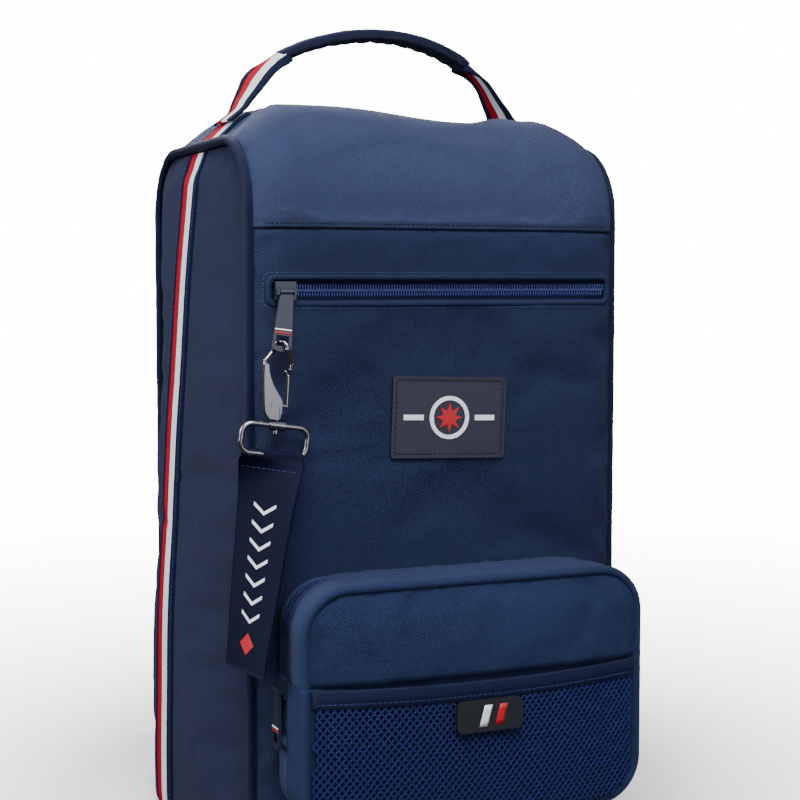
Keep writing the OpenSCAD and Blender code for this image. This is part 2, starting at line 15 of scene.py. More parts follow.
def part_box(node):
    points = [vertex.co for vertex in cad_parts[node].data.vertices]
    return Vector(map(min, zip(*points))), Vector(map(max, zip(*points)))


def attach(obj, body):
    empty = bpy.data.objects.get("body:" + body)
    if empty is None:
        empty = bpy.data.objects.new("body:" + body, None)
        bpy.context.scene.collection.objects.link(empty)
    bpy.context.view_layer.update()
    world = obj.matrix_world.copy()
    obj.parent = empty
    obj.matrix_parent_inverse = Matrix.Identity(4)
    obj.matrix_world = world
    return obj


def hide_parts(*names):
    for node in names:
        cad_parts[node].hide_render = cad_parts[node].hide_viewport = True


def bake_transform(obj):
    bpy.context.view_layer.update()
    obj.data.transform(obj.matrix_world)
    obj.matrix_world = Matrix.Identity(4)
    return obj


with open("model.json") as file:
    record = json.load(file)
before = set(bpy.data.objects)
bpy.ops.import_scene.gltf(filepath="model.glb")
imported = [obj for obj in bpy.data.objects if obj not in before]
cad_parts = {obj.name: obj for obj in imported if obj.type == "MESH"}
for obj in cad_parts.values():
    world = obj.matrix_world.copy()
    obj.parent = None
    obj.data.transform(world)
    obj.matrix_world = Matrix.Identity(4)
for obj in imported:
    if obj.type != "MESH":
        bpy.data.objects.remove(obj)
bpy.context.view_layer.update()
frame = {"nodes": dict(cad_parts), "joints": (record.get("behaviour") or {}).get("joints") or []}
MM = 0.001


def corners(node):
    """Lowest and highest corner of a CAD node, in millimetres."""
    low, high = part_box(node)
    return low / MM, high / MM


def joint_place(name):
    """A joint's point, in millimetres."""
    return Vector(next(j for j in frame["joints"] if j["name"] == name)["pos_m"]) / MM


# ---------------------------------------------------------------- camera, light and floor

def srgb(*channels):
    """A colour given as 0 to 255 screen values, as linear red, green, blue and alpha."""
    linear = [c / 255 / 12.92 if c < 10 else ((c / 255 + 0.055) / 1.055) ** 2.4 for c in channels]
    return (*linear, 1)


def make_camera():
    data = bpy.data.cameras.new("camera")
    data.lens = 71.6
    data.sensor_width = 36
    camera = bpy.data.objects.new("camera", data)
    camera.location = Vector((-401.1, -987.3, 344.0)) * MM
    camera.rotation_euler = (math.radians(85.7), 0, math.radians(-23))
    bpy.context.scene.collection.objects.link(camera)
    bpy.context.scene.camera = camera


def area_light(name, place, target, size, power):
    data = bpy.data.lights.new(name, "AREA")
    data.shape = "RECTANGLE"
    data.size, data.size_y = size
    data.energy = power
    light = bpy.data.objects.new(name, data)
    light.location = Vector(place)
    light.rotation_euler = (Vector(target) - Vector(place)).to_track_quat("-Z", "Y").to_euler()
    bpy.context.scene.collection.objects.link(light)


def map_range(tree, *limits):
    node = tree.nodes.new("ShaderNodeMapRange")
    for name, value in zip(("From Min", "From Max", "To Min", "To Max"), limits):
        node.inputs[name].default_value = value
    return node


def make_studio():
    world = bpy.data.worlds.new("studio")
    bpy.context.scene.world = world
    world.use_nodes = True
    tree = world.node_tree
    new, link = tree.nodes.new, tree.links.new
    soft = tree.nodes["Background"]
    soft.inputs["Color"].default_value = (1, 1, 1, 1)
    ways = new("ShaderNodeSeparateXYZ")
    link(new("ShaderNodeTexCoord").outputs["Generated"], ways.inputs[0])
    height = map_range(tree, -0.1, 0.5, 0.12, 0.5)
    link(ways.outputs[2], height.inputs["Value"])
    link(height.outputs["Result"], soft.inputs["Strength"])
    backdrop = new("ShaderNodeBackground")
    backdrop.inputs["Strength"].default_value = 16
    backdrop.inputs["Color"].default_value = (1, 1, 1, 1)
    rays = new("ShaderNodeLightPath")
    choice = new("ShaderNodeMixShader")
    link(rays.outputs["Is Camera Ray"], choice.inputs[0])
    link(soft.outputs[0], choice.inputs[1])
    link(backdrop.outputs[0], choice.inputs[2])
    link(choice.outputs[0], tree.nodes["World Output"].inputs["Surface"])
    area_light("key", (-0.25, -0.85, 1.35), (0, -0.05, 0.32), (1.1, 0.7), 33)
    area_light("fill", (0.2, -2.4, 0.7), (0, 0, 0.25), (2.4, 1.4), 24)
    area_light("left", (-1.7, 0.1, 0.9), (0, 0, 0.25), (0.8, 1.0), 36)
    area_light("back", (0.4, 1.7, 1.3), (0, 0, 0.3), (1.2, 1.0), 22)
    bpy.ops.mesh.primitive_plane_add(size=14, location=(0, 0, 0))
    floor = bpy.context.object
    floor.name = "floor"
    material = bpy.data.materials.new("floor")
    material.use_nodes = True
    shader = material.node_tree.nodes["Principled BSDF"]
    shader.inputs["Base Color"].default_value = (0.93, 0.93, 0.93, 1)
    shader.inputs["Roughness"].default_value = 0.95
    shader.inputs["Specular IOR Level"].default_value = 0
    tree = material.node_tree
    place = tree.nodes.new("ShaderNodeTexCoord")
    distance = tree.nodes.new("ShaderNodeVectorMath")
    distance.operation = "LENGTH"
    glow = map_range(tree, 0.2, 1.3, 0.0, 14.0)
    tree.links.new(place.outputs["Object"], distance.inputs[0])
    tree.links.new(distance.outputs["Value"], glow.inputs["Value"])
    tree.links.new(glow.outputs["Result"], shader.inputs["Emission Strength"])
    shader.inputs["Emission Color"].default_value = (1, 1, 1, 1)
    floor.data.materials.append(material)
    floor.visible_diffuse = floor.visible_glossy = False


# ---------------------------------------------------------------- materials

class Nodes:
    """Builds one node material in a few short calls."""

    def __init__(self, name):
        self.material = bpy.data.materials.new(name)
        self.material.use_nodes = True
        self.tree = self.material.node_tree
        self.shader = self.tree.nodes["Principled BSDF"]

    def add(self, kind, **values):
        node = self.tree.nodes.new("ShaderNode" + kind)
        for key, value in values.items():
            if hasattr(node, key):
                setattr(node, key, value)
            else:
                node.inputs[key.replace("_", " ")].default_value = value
        return node

    def link(self, output, target):
        self.tree.links.new(output, target)

    def math(self, operation, a, b=0.0):
        node = self.add("Math", operation=operation)
        for value, socket in ((a, node.inputs[0]), (b, node.inputs[1])):
            if isinstance(value, (int, float)):
                socket.default_value = value
            else:
                self.link(value, socket)
        return node.outputs[0]

    def plus(self, first, *others):
        for other in others:
            first = self.math("ADD", first, other)
        return first

    def times(self, a, b):
        return self.math("MULTIPLY", a, b)

    def mix(self, factor, a, b):
        node = self.add("Mix", data_type="RGBA")
        for value, socket in ((factor, node.inputs[0]), (a, node.inputs[6]), (b, node.inputs[7])):
            if isinstance(value, (int, float, tuple)):
                socket.default_value = value
            else:
                self.link(value, socket)
        return node.outputs[2]

    def cloth(self):
        """The two coordinates along the fabric, in millimetres."""
        split = self.add("SeparateXYZ")
        self.link(self.add("Attribute", attribute_name="cloth").outputs["Vector"], split.inputs[0])
        return split.outputs[0], split.outputs[1]

    def noise(self, scale, detail=3.0, stretch=(1, 1, 1)):
        place = self.add("TexCoord").outputs["Object"]
        scaled = self.add("Mapping")
        scaled.inputs["Scale"].default_value = stretch
        self.link(place, scaled.inputs["Vector"])
        texture = self.add("TexNoise", Scale=scale, Detail=detail)
        self.link(scaled.outputs[0], texture.inputs["Vector"])
        return texture.outputs["Fac"]

    def wave(self, coordinate, pitch):
        return self.math("SINE", self.times(coordinate, 2 * math.pi / pitch))

    def bump(self, height, distance, strength=1.0):
        node = self.add("Bump", Strength=strength, Distance=distance)
        self.link(height, node.inputs["Height"])
        self.link(node.outputs[0], self.shader.inputs["Normal"])

    def colour(self, share, colour, dark, light, lift=0.0):
        """Base colour between a darker and a lighter tone of one colour."""
        low = tuple(c * dark for c in colour[:3]) + (1,)
        high = tuple(min(1, c * light + lift) for c in colour[:3]) + (1,)
        self.link(self.mix(share, low, high), self.shader.inputs["Base Color"])

    def roughness(self, share, spread, base):
        self.link(self.plus(self.times(share, spread), base), self.shader.inputs["Roughness"])

    def set(self, **values):
        for key, value in values.items():
            self.shader.inputs[key.replace("_", " ")].default_value = value


def fabric(name, colour, pitch=1.7, twill=False, rough=0.62, sheen=0.03, specular=0.16, relief=0.26):
    """Woven cloth: a fine weave in colour and relief, uneven yarns, and a slow change of tone."""
    n = Nodes(name)
    u, v = n.cloth()
    if twill:
        weave = n.wave(n.plus(n.times(u, 0.8), v), pitch)
    else:
        weave = n.times(n.wave(u, pitch), n.wave(v, pitch))
    yarn = n.noise(700, 2.0, (1, 1, 0.35))
    tone = n.noise(9, 4.0)
    share = n.plus(n.times(weave, 0.4), n.times(yarn, 0.6), n.times(tone, 0.5), -0.05)
    n.colour(share, colour, 0.55, 1.5, 0.004)
    n.roughness(yarn, 0.25, rough - 0.12)
    n.bump(n.plus(weave, n.times(yarn, 0.8)), relief * MM)
    n.set(Sheen_Weight=sheen, Sheen_Roughness=0.4, Specular_IOR_Level=specular, Sheen_Tint=(0.55, 0.65, 1, 1))
    return n.material


TAPE_HALF = 19.0


def webbing(name, bands):
    """Ribbed webbing with lengthwise bands: (start across the tape, colour), from edge to edge."""
    n = Nodes(name)
    u, v = n.cloth()
    ramp = n.add("ValToRGB")
    ramp.color_ramp.interpolation = "CONSTANT"
    stops = ramp.color_ramp.elements
    for i, (start, colour) in enumerate(bands):
        place = (start + TAPE_HALF) / (2 * TAPE_HALF)
        stop = stops[i] if i < 2 else stops.new(place)
        stop.color = colour
        stop.position = place
    uneven = n.times(n.plus(n.noise(420, 1.0), -0.5), 0.9)
    n.link(n.math("DIVIDE", n.plus(u, uneven, TAPE_HALF), 2 * TAPE_HALF), ramp.inputs["Fac"])
    rib = n.times(n.wave(v, 1.5), n.wave(u, 2.2))
    shade = n.plus(n.times(rib, 0.1), n.times(n.noise(500, 2.0), 0.14))
    n.link(n.mix(shade, ramp.outputs[0], (0.01, 0.012, 0.03, 1)), n.shader.inputs["Base Color"])
    n.bump(n.plus(rib, n.wave(v, 0.75)), 0.2 * MM)
    n.set(Roughness=0.8, Specular_IOR_Level=0.08)
    return n.material


def metal(name, colour, rough, metallic=1.0, coat=0.0, relief=0.02):
    n = Nodes(name)
    mottle = n.noise(60, 4.0)
    n.colour(mottle, colour, 0.85, 1.15)
    n.roughness(mottle, 0.18, rough - 0.09)
    n.bump(n.noise(500, 2.0), relief * MM, 0.5)
    n.set(Metallic=metallic, Coat_Weight=coat)
    return n.material


def rubber(name, colour, rough=0.5, relief=0.03):
    n = Nodes(name)
    speck = n.noise(500, 3.0)
    n.colour(speck, colour, 0.8, 1.2, 0.002)
    n.roughness(speck, 0.15, rough - 0.07)
    n.bump(speck, relief * MM)
    n.set(Specular_IOR_Level=0.4)
    return n.material


NAVY = srgb(35, 45, 76)
NAVY_DARK = srgb(14, 26, 57)
WHITE = srgb(242, 247, 255)
RED = srgb(176, 0, 36)
EDGE = srgb(12, 20, 48)

SHELL = fabric("shell_cloth", NAVY)
FRONT = fabric("front_cloth", NAVY_DARK)
POCKET = fabric("pocket_cloth", srgb(20, 34, 68))
SIDE = fabric("side_cloth", srgb(18, 27, 54), twill=True, specular=0.14)
BINDING = fabric("binding_cloth", srgb(12, 22, 50), pitch=1.1, twill=True, rough=0.55, specular=0.14)
LINING = fabric("lining_cloth", srgb(30, 38, 62), pitch=1.6, rough=0.8, sheen=0.1)
TAPE = fabric("zip_tape_cloth", srgb(17, 25, 62), pitch=1.0, twill=True, rough=0.7)
HEM = fabric("hem_cloth", srgb(10, 21, 52), pitch=1.3, twill=True, relief=0.2)
SATIN = fabric("satin_ribbon", srgb(6, 12, 34), pitch=0.9, rough=0.55, sheen=0, specular=0.05, relief=0.06)
# The seam thread is darker than the cloth it sews: painted shade of the gaps between the stitches.
SHADED_STITCH_THREAD = fabric("stitch_thread_painted_shade", srgb(14, 20, 46), pitch=0.5, rough=0.6, relief=0.05)
PATCH_THREAD = fabric("patch_thread", srgb(8, 9, 20), pitch=0.5)
THREAD = fabric("thread", srgb(34, 47, 86), pitch=0.5, rough=0.6, relief=0.05)
NET = fabric("net_yarn", srgb(20, 30, 84), pitch=0.6, rough=0.5, relief=0.08)
COIL = rubber("coil_nylon", srgb(36, 46, 98), 0.16)
STRIPES = webbing("striped_webbing", [(-TAPE_HALF, EDGE), (-10.5, WHITE), (0.5, RED), (10.5, EDGE)])
SLATE = metal("slate_paint", srgb(30, 38, 54), 0.42, metallic=0.35, coat=0.25)
GUNMETAL = metal("gunmetal", srgb(122, 122, 130), 0.2, metallic=1.0, relief=0.003)
PATCH = rubber("patch_rubber", srgb(25, 27, 46))
PRINT_WHITE = rubber("print_white", srgb(214, 218, 226), 0.45)
PRINT_RED = rubber("print_red", srgb(160, 12, 26), 0.45)
LABEL = rubber("label_rubber", srgb(12, 15, 26))
BOARD = rubber("board", srgb(40, 40, 44), 0.7, 0.1)


# ---------------------------------------------------------------- mesh building

def wobble(scale, *place):
    """Smooth noise from -1 to 1 at a point, with bumps about scale apart."""
    return noise.noise(Vector(place) / scale)


def steps(start, stop, size):
    """Even steps from start to stop, no longer than size."""
    return np.linspace(start, stop, max(2, int(math.ceil(abs(stop - start) / size)) + 1)).tolist()


SIDE_NAMES = {-1: "left", 1: "right"}


class Soup:
    """Collects the points and faces of one mesh, and each point's place along its fabric."""

    def __init__(self):
        self.points, self.faces, self.cloth = [], [], []

    def grid(self, us, vs, place, keep=None, closed=False):
        start, rows = len(self.points), len(vs)
        for u in us:
            for v in vs:
                self.points.append(tuple(place(u, v)))
                self.cloth.append((u, v, 0))
        for i in range(len(us) if closed else len(us) - 1):
            for j in range(rows - 1):
                k = (i + 1) % len(us)
                if keep is None or keep((us[i] + us[k]) / 2, (vs[j] + vs[j + 1]) / 2):
                    self.faces.append([start + i * rows + j, start + k * rows + j,
                                       start + k * rows + j + 1, start + i * rows + j + 1])
        return self

    def turn(self):
        """Turns every face over."""
        self.faces = [face[::-1] for face in self.faces]
        return self

    def map_cloth(self, place=lambda p: (p[0], p[2])):
        """Sets each point's place along the fabric from its place in space."""
        self.cloth = [(*place(p), 0) for p in self.points]
        return self

    def add(self, other):
        base = len(self.points)
        self.points += other.points
        self.cloth += other.cloth
        self.faces += [[i + base for i in face] for face in other.faces]

    def rings(self, start, count, sides):
        """Faces between rings of points, one ring after another, with both ends closed."""
        for i in range(count - 1):
            a, b = start + i * sides, start + (i + 1) * sides
            for k in range(sides):
                self.faces.append([a + k, a + (k + 1) % sides, b + (k + 1) % sides, b + k])
        self.faces.append([start + k for k in reversed(range(sides))])
        self.faces.append([start + (count - 1) * sides + k for k in range(sides)])

    def tube(self, path, radius, sides, up):
        """A round tube along path. radius is a function of the distance along it."""
        path = [Vector(p) for p in path]
        start, run = len(self.points), 0.0
        for i, point in enumerate(path):
            before, after = path[max(i - 1, 0)], path[min(i + 1, len(path) - 1)]
            along = (after - before).normalized()
            normal = (Vector(up) - along * Vector(up).dot(along)).normalized()
            across = along.cross(normal)
            size = radius(run)
            for k in range(sides):
                a = 2 * math.pi * k / sides
                self.points.append(tuple(point + size * (math.cos(a) * normal + math.sin(a) * across)))
                self.cloth.append((run, size * a, 0))
            run += (after - point).length
        self.rings(start, len(path), sides)
        return self

    def bead(self, a, b, radius, up, sides=6, squash=0.8):
        """A short capsule from a to b."""
        a, b, up = Vector(a), Vector(b), Vector(up)
        along = (b - a).normalized() * radius
        sizes = (0.35, 0.85, 1.0, 1.0, 0.85, 0.35)
        path = [a, a + 0.35 * along, a + along, b - along, b - 0.35 * along, b]
        start = len(self.points)
        normal = (up - along.normalized() * up.dot(along.normalized())).normalized()
        across = along.normalized().cross(normal)
        for point, size in zip(path, sizes):
            for k in range(sides):
                t = 2 * math.pi * k / sides
                self.points.append(tuple(point + size * radius
                                         * (math.cos(t) * normal * squash + math.sin(t) * across)))
                self.cloth.append((point.x + point.y, point.z, 0))
        self.rings(start, len(path), sides)

    def make(self, name, body, material, slot, replaces=(), thickness=0.0, smooth=0):
        """Turns the soup into a piece that rides on a body."""
        mesh = bpy.data.meshes.new(name)
        mesh.from_pydata([(x * MM, y * MM, z * MM) for x, y, z in self.points], [], self.faces)
        attribute = mesh.attributes.new("cloth", "FLOAT_VECTOR", "POINT")
        attribute.data.foreach_set("vector", [c for place in self.cloth for c in place])
        mesh.shade_smooth()
        mesh.materials.append(material)
        piece = bpy.data.objects.new(name, mesh)
        bpy.context.scene.collection.objects.link(piece)
        if replaces:
            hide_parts(*replaces)
        if thickness:
            solid = piece.modifiers.new("thickness", "SOLIDIFY")
            solid.thickness = thickness * MM
            solid.offset = -1
        if smooth:
            piece.modifiers.new("smooth", "SUBSURF").render_levels = smooth
        if body:
            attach(piece, body)
        return piece


def settle(piece, held, pressure, grow, cap):
    """Lets a sewn panel fill and pucker as cloth, held where held(point) is true, and keeps the result.
    No point moves further than cap."""
    frames = 14
    mesh = piece.data
    rest = np.array([v.co for v in mesh.vertices])
    group = piece.vertex_groups.new(name="held")
    group.add([i for i, p in enumerate(rest / MM) if held(p)], 1.0, "REPLACE")
    cloth = piece.modifiers.new("cloth", "CLOTH")
    settings = cloth.settings
    settings.quality = 6
    settings.mass = 0.25
    settings.tension_stiffness = settings.compression_stiffness = 25
    settings.shear_stiffness = 8
    settings.bending_stiffness = 1.2
    settings.vertex_group_mass = "held"
    settings.use_pressure = True
    settings.uniform_pressure_force = pressure
    settings.shrink_min = -grow
    settings.effector_weights.gravity = 0
    cloth.collision_settings.use_collision = False
    cloth.point_cache.frame_start, cloth.point_cache.frame_end = 1, frames
    scene = bpy.context.scene
    while piece.modifiers[0] != cloth:
        piece.modifiers.move(len(piece.modifiers) - 1, 0)
    others = [m for m in piece.modifiers if m != cloth]
    for m in others:
        m.show_viewport = False
    for f in range(1, frames + 1):
        scene.frame_set(f)
    shown = piece.evaluated_get(bpy.context.evaluated_depsgraph_get()).to_mesh()
    moved = np.array([v.co for v in shown.vertices]) - rest
    length = np.linalg.norm(moved, axis=1, keepdims=True)
    moved *= np.minimum(1, cap * MM / np.maximum(length, 1e-9))
    piece.modifiers.remove(cloth)
    for m in others:
        m.show_viewport = True
    mesh.vertices.foreach_set("co", (rest + moved).astype(np.float32).ravel())
    mesh.update()
    scene.frame_set(1)


def surface_of(piece):
    """A tree of a piece's mesh, in millimetres, for finding points on it."""
    points = [v.co / MM for v in piece.data.vertices]
    return BVHTree.FromPolygons(points, [list(p.vertices) for p in piece.data.polygons])


REACH = 400.0


def lay_on(tree, path, towards):
    """Each point of path, moved along towards onto the surface, with the surface's normal."""
    towards = Vector(towards).normalized()
    found = []
    for p in path:
        place, normal, _, _ = tree.ray_cast(Vector(p) - towards * REACH, towards, 2 * REACH)
        if place is not None:
            found.append((place, normal if normal.dot(towards) < 0 else -normal))
    return found


def distances(points):
    """How far along a line each of its points is."""
    found = [0.0]
    for a, b in zip(points, points[1:]):
        found.append(found[-1] + (b - a).length)
    return found


def sew(soup, laid, pitch=3.2, length=2.3, radius=0.42, lift=0.16):
    """Adds a row of stitches along points laid on a surface."""
    starts = distances([place for place, _ in laid])
    run, k = 0.0, 0
    while run + length < starts[-1]:
        ends = []
        for d in (run, run + length):
            while k < len(starts) - 2 and starts[k + 1] < d:
                k += 1
            (a, normal), (b, _) = laid[k], laid[k + 1]
            t = (d - starts[k]) / max(1e-6, starts[k + 1] - starts[k])
            ends.append((a.lerp(b, t) + normal * lift, normal))
        soup.bead(ends[0][0], ends[1][0], radius, ends[0][1])
        run += pitch


def stitch(name, body, slot, laid, *sizes, material=THREAD):
    """One row of stitches as a piece of its own. sizes go to sew."""
    soup = Soup()
    sew(soup, laid, *sizes)
    soup.make(name, body, material, slot)


def finish_cad(node, material, bevel=0.0):
    """Gives a CAD node its material and soft edges."""
    piece = frame["nodes"][node]
    piece.data.materials.clear()
    piece.data.materials.append(material)
    if bevel:
        edge = piece.modifiers.new("edge", "BEVEL")
        edge.width = bevel * MM
        edge.segments = 2
        edge.limit_method = "ANGLE"
        edge.angle_limit = math.radians(40)


# ---------------------------------------------------------------- shell

front_low, front_high = corners("front_panel")
shoulder_high = corners("shoulder_panel")[1]
door_low, door_high = corners("door_panel")
side_low, side_high = corners("side_panel_right")
SEAM = front_high.x
FRONT_Y, BACK_Y = front_low.y, door_high.y
FRONT_SEAM, BACK_SEAM = side_low.y, side_high.y
ROOF, ARCH = shoulder_high.z, side_high.z
FOOT_Z, SHOULDER_Z, BACK_SHOULDER_Z = front_low.z, front_high.z, corners("back_frame")[1].z
FLAT_ROOF = 88.0
RIDGE_R, ARCH_R, FOOT_R = 75.0, 44.0, 8.0


def inside_corner(edge, r, over):
    """Where an outline that rounds a corner of radius r stands, over past the start of the corner."""
    return edge - r + math.sqrt(max(0.0, r * r - over * over))


def puff(x):
    """How far a panel stands out in front of its seams at x: 1 across the middle, 0 at the seam."""
    return math.sqrt(max(0.0, 1 - min(1.0, abs(x) / SEAM) ** 9))


def roof_slope(x):
    return max(0.0, (abs(x) - FLAT_ROOF) / (SEAM - FLAT_ROOF))


def front_at(x):
    return FRONT_SEAM + (FRONT_Y - FRONT_SEAM) * puff(x)


def back_at(x):
    return BACK_SEAM + (BACK_Y - BACK_SEAM) * puff(x)


def roof_at(x):
    return ROOF - (ROOF - ARCH) * roof_slope(x) ** 1.4


def roof_dip(x):
    """How far the soft roof hangs below that, lowest right of the middle and held up by the right leg."""
    return (7.0 * crease(x - 40, 60) - 2.6 * crease(x - 66, 10)) * (1 - min(1.0, abs(x) / SEAM) ** 6)


# The first stretch of the roof panel above its front seam, and the stitches along that seam.
LOW_WRAP, SEAM_STITCH = 16.0, 3.2


def over_roof(x, run):
    """A point on the roof panel. run is 0 at its front seam, 1 where it starts to roll back, 2 and 3 at
    the two edges of the flat roof, and 4 at its back seam."""
    top, r = roof_at(x), RIDGE_R + (ARCH_R - RIDGE_R) * roof_slope(x)
    y0, y1 = front_at(x), back_at(x)
    part, f = min(3, int(run)), run - min(3, int(run))
    rise = max(0.0, SHOULDER_Z + (f if part == 0 else 1) * LOW_WRAP - top + r)
    if part == 0:
        return Vector((x, y0 + r - math.sqrt(r * r - rise * rise), SHOULDER_Z + f * LOW_WRAP))
    if part == 1:
        a = math.asin(rise / r) * (1 - f) + f * math.pi / 2
        return Vector((x, y0 + r - r * math.cos(a), top - r + r * math.sin(a)))
    if part == 2:
        return Vector((x, y0 + r + f * (y1 - y0 - 2 * r), top))
    a = f * math.acos((BACK_SHOULDER_Z - top + r) / r)
    return Vector((x, y1 - r + r * math.sin(a), top - r + r * math.cos(a)))


def back_surface(x, z):
    """Depth of the back at a point, below its seam with the roof panel."""
    r = RIDGE_R + (ARCH_R - RIDGE_R) * roof_slope(x)
    return inside_corner(back_at(x), r, max(0.0, z - roof_at(x) + r))


def mirrored(stop, size, edge):
    """Even steps from -stop to stop, and closer ones beyond them at both edges."""
    return [-x for x in reversed(edge)] + steps(-stop, stop, size) + edge


def panel_columns():
    """Columns across a shell panel, closer together where it rolls into its side seams."""
    return mirrored(101, 4.2, [105, 109, 112, 114, 115.5, 116.7, 117.6, 118.3, 118.8, SEAM])


def crease(distance, width):
    return math.exp(-(distance / width) ** 2)


def edge_gather(x, z):
    """Small lengthwise folds where a panel is gathered into its side seams."""
    near = crease(abs(x) - 108, 9)
    return near * (0.9 * wobble(7, x * 1.0, z * 0.12, 3.1) + 0.5 * wobble(22, x, z, 8.0))


def make_front_panel():
    slot = corners("front_zip_coil")
    z0, z1 = slot[0].z - 2.9, slot[1].z + 2.9
    half = slot[1].x + 3
    rows = steps(FOOT_Z, z0 - 12, 4.2) + [z0 - down for down in (8, 5, 3, 1.5, 0)]
    rows += [z1 + up for up in (0, 1.5, 3, 5, 9)] + steps(z1 + 13, SHOULDER_Z - 4, 4)
    rows += [SHOULDER_Z - 2, SHOULDER_Z]
    columns = sorted(set(panel_columns() + [-half, half]))

    def place(x, z):
        y = front_at(x)
        y -= 2.3 * wobble(95, x, z, 1.7) * puff(x) + 1.3 * edge_gather(x, z)
        y += 1.8 * crease(SHOULDER_Z - z, 2.2)
        return x, y, z

    soup = Soup().grid(columns, rows, place, keep=lambda x, z: not (abs(x) < half and z0 < z < z1))
    piece = soup.make("front_panel_cloth", "bag", FRONT, "shell_fabric_dark", ["front_panel"], 1.6)
    patch_low, patch_high = corners("patch")

    def held(p):
        near_slot = abs(p[0]) < half + 6 and z0 - 7 < p[2] < z1 + 7
        near_patch = abs(p[0]) < patch_high.x + 3 and patch_low.z - 3 < p[2] < patch_high.z + 3
        return near_slot or near_patch or abs(p[0]) > SEAM - 1 or p[2] < FOOT_Z + 1 or p[2] > SHOULDER_Z - 1

    settle(piece, held, 1.2, 0.01, 1.6)
    return piece, (z0, z1, half)


def make_shoulder():
    rows = steps(0, 1, 0.05) + steps(1.04, 2, 0.04) + steps(2.1, 2.95, 0.09) + steps(3, 4, 0.06)

    def place(x, run):
        p = over_roof(x, run)
        tilt = min(1, max(0, (run - 1) / 0.8))
        up = Vector((0, tilt - 1, tilt))
        rise = p.z - SHOULDER_Z
        foot = SHOULDER_Z if run < 3 else BACK_SHOULDER_Z
        hang = roof_dip(x) * max(0.0, (p.z - foot) / (roof_at(x) - foot)) ** 1.5
        loose = 2.2 * wobble(80, p.x, p.y, p.z) * puff(x) + 0.9 * edge_gather(x, p.z + p.y)
        p += up * min(1, rise / 14) * loose
        p.z -= hang
        if run < 1.5:
            p.y += 0.35 * crease(rise - SEAM_STITCH, 0.7) + 1.4 * crease(rise, 0.7) - 0.25
            p.y -= 0.35 * crease(rise - 7.5, 3.5) + 0.6 * crease(rise - 3, 4) * wobble(6, x, rise, 2)
        return p

    soup = Soup().grid(panel_columns(), rows, place)
    travel = dict(zip(rows, distances([over_roof(0, run) for run in rows])))
    soup.cloth = [(u, travel[v], 0) for u, v, _ in soup.cloth]
    piece = soup.make("shoulder_cloth", "bag", SHELL, "shell_fabric", ["shoulder_panel"], 1.6)
    settle(piece, lambda p: abs(p[0]) > SEAM - 1 or (p[1] < 0 and p[2] < SHOULDER_Z + 5)
           or (p[1] > 0 and p[2] < BACK_SHOULDER_Z + 5), 0.8, 0.008, 1.5)
    return piece


def side_half_depth(z):
    """Half the depth of the side panel at a height, inside its round top corners and foot."""
    if z > ARCH - ARCH_R:
        return inside_corner(BACK_SEAM, ARCH_R, z - ARCH + ARCH_R)
    if z < FOOT_R:
        return inside_corner(BACK_SEAM, FOOT_R, FOOT_R - z)
    return BACK_SEAM


SIDE_BULGE = side_high.x - SEAM - 2.5


def side_out(y, z):
    """How far out the right side panel stands."""
    bulge = SIDE_BULGE if z < 40 else SIDE_BULGE * (1 - ((z - 40) / (ARCH - 40)) ** 1.5)
    t = min(1.0, abs(y) / BACK_SEAM)
    rim = side_half_depth(z) - abs(y)
    roll = 2.5 * (1 - crease(max(0.0, min(rim, ARCH - z)), 7))
    return SEAM + bulge * (1 - t * t) + roll


def make_side(sign):
    name = SIDE_NAMES[sign]
    rows = [0, 2, 4, 6, 8] + steps(12, ARCH - 49, 4.5)
    rows += [ARCH - down for down in (45, 40, 35, 30, 25, 21, 17, 13, 9.5, 6.5, 4, 2, 0.7, 0)]
    across = mirrored(0.82, 0.045, [0.87, 0.91, 0.94, 0.965, 0.985, 1])

    def place(t, z):
        y = t * side_half_depth(z) * sign
        x = side_out(y, z)
        x += 1.1 * wobble(90, y, z, 4.0 + sign) * (1 - t * t)
        x -= 0.9 * crease(1 - abs(t), 0.08) * (0.5 + wobble(11, y, z * 0.9, 2.0))
        return sign * x, y, z

    soup = Soup().grid(across, rows, place)
    soup.cloth = [(u * BACK_SEAM, v, 0) for u, v, _ in soup.cloth]
    piece = soup.make(f"side_cloth_{name}", "bag", SIDE, "side_fabric", [f"side_panel_{name}"], 1.6)
    settle(piece, lambda p: side_half_depth(p[2]) - abs(p[1]) < 1.5 or p[2] > ARCH - 1 or p[2] < 2,
           2.5, 0.012, 3.5)
    return piece


def piping_path(node):
    """The arch that the covered piping follows, from the front foot over the top to the back foot."""
    low, high = corners(node)
    r = (high.x - low.x) / 2
    x = (low.x + high.x) / 2
    sunk = 2.2
    y0, y1, top = low.y + r + sunk, high.y - r - sunk, high.z - r - sunk
    bend = ARCH_R + top - ARCH
    path = [(x, y0, z) for z in steps(low.z, top - bend - 3, 3)]
    path += [(x, y0 + bend * (1 - math.cos(a)), top - bend + bend * math.sin(a))
             for a in steps(0, math.pi / 2, 0.05)]
    path += [(x, y, top) for y in steps(y0 + bend, y1 - bend, 3)[1:-1]]
    path += [(x, y1 - bend * (1 - math.cos(a)), top - bend + bend * math.sin(a))
             for a in steps(math.pi / 2, 0, 0.05)]
    path += [(x, y1, z) for z in steps(top - bend - 3, low.z, 3)]
    return path, r


def make_piping(sign):
    name = SIDE_NAMES[sign]
    path, r = piping_path(f"piping_{name}")
    inward = -1.6 * sign
    path = [(x + inward + 0.25 * wobble(12, y, z, sign), y, z) for x, y, z in path]
    soup = Soup().tube(path, lambda s: r * (0.97 + 0.05 * wobble(5, s, sign, 0.5)), 14, up=(sign, 0, 0))
    soup.make(f"piping_cloth_{name}", "bag", BINDING, "piping_fabric", [f"piping_{name}"])


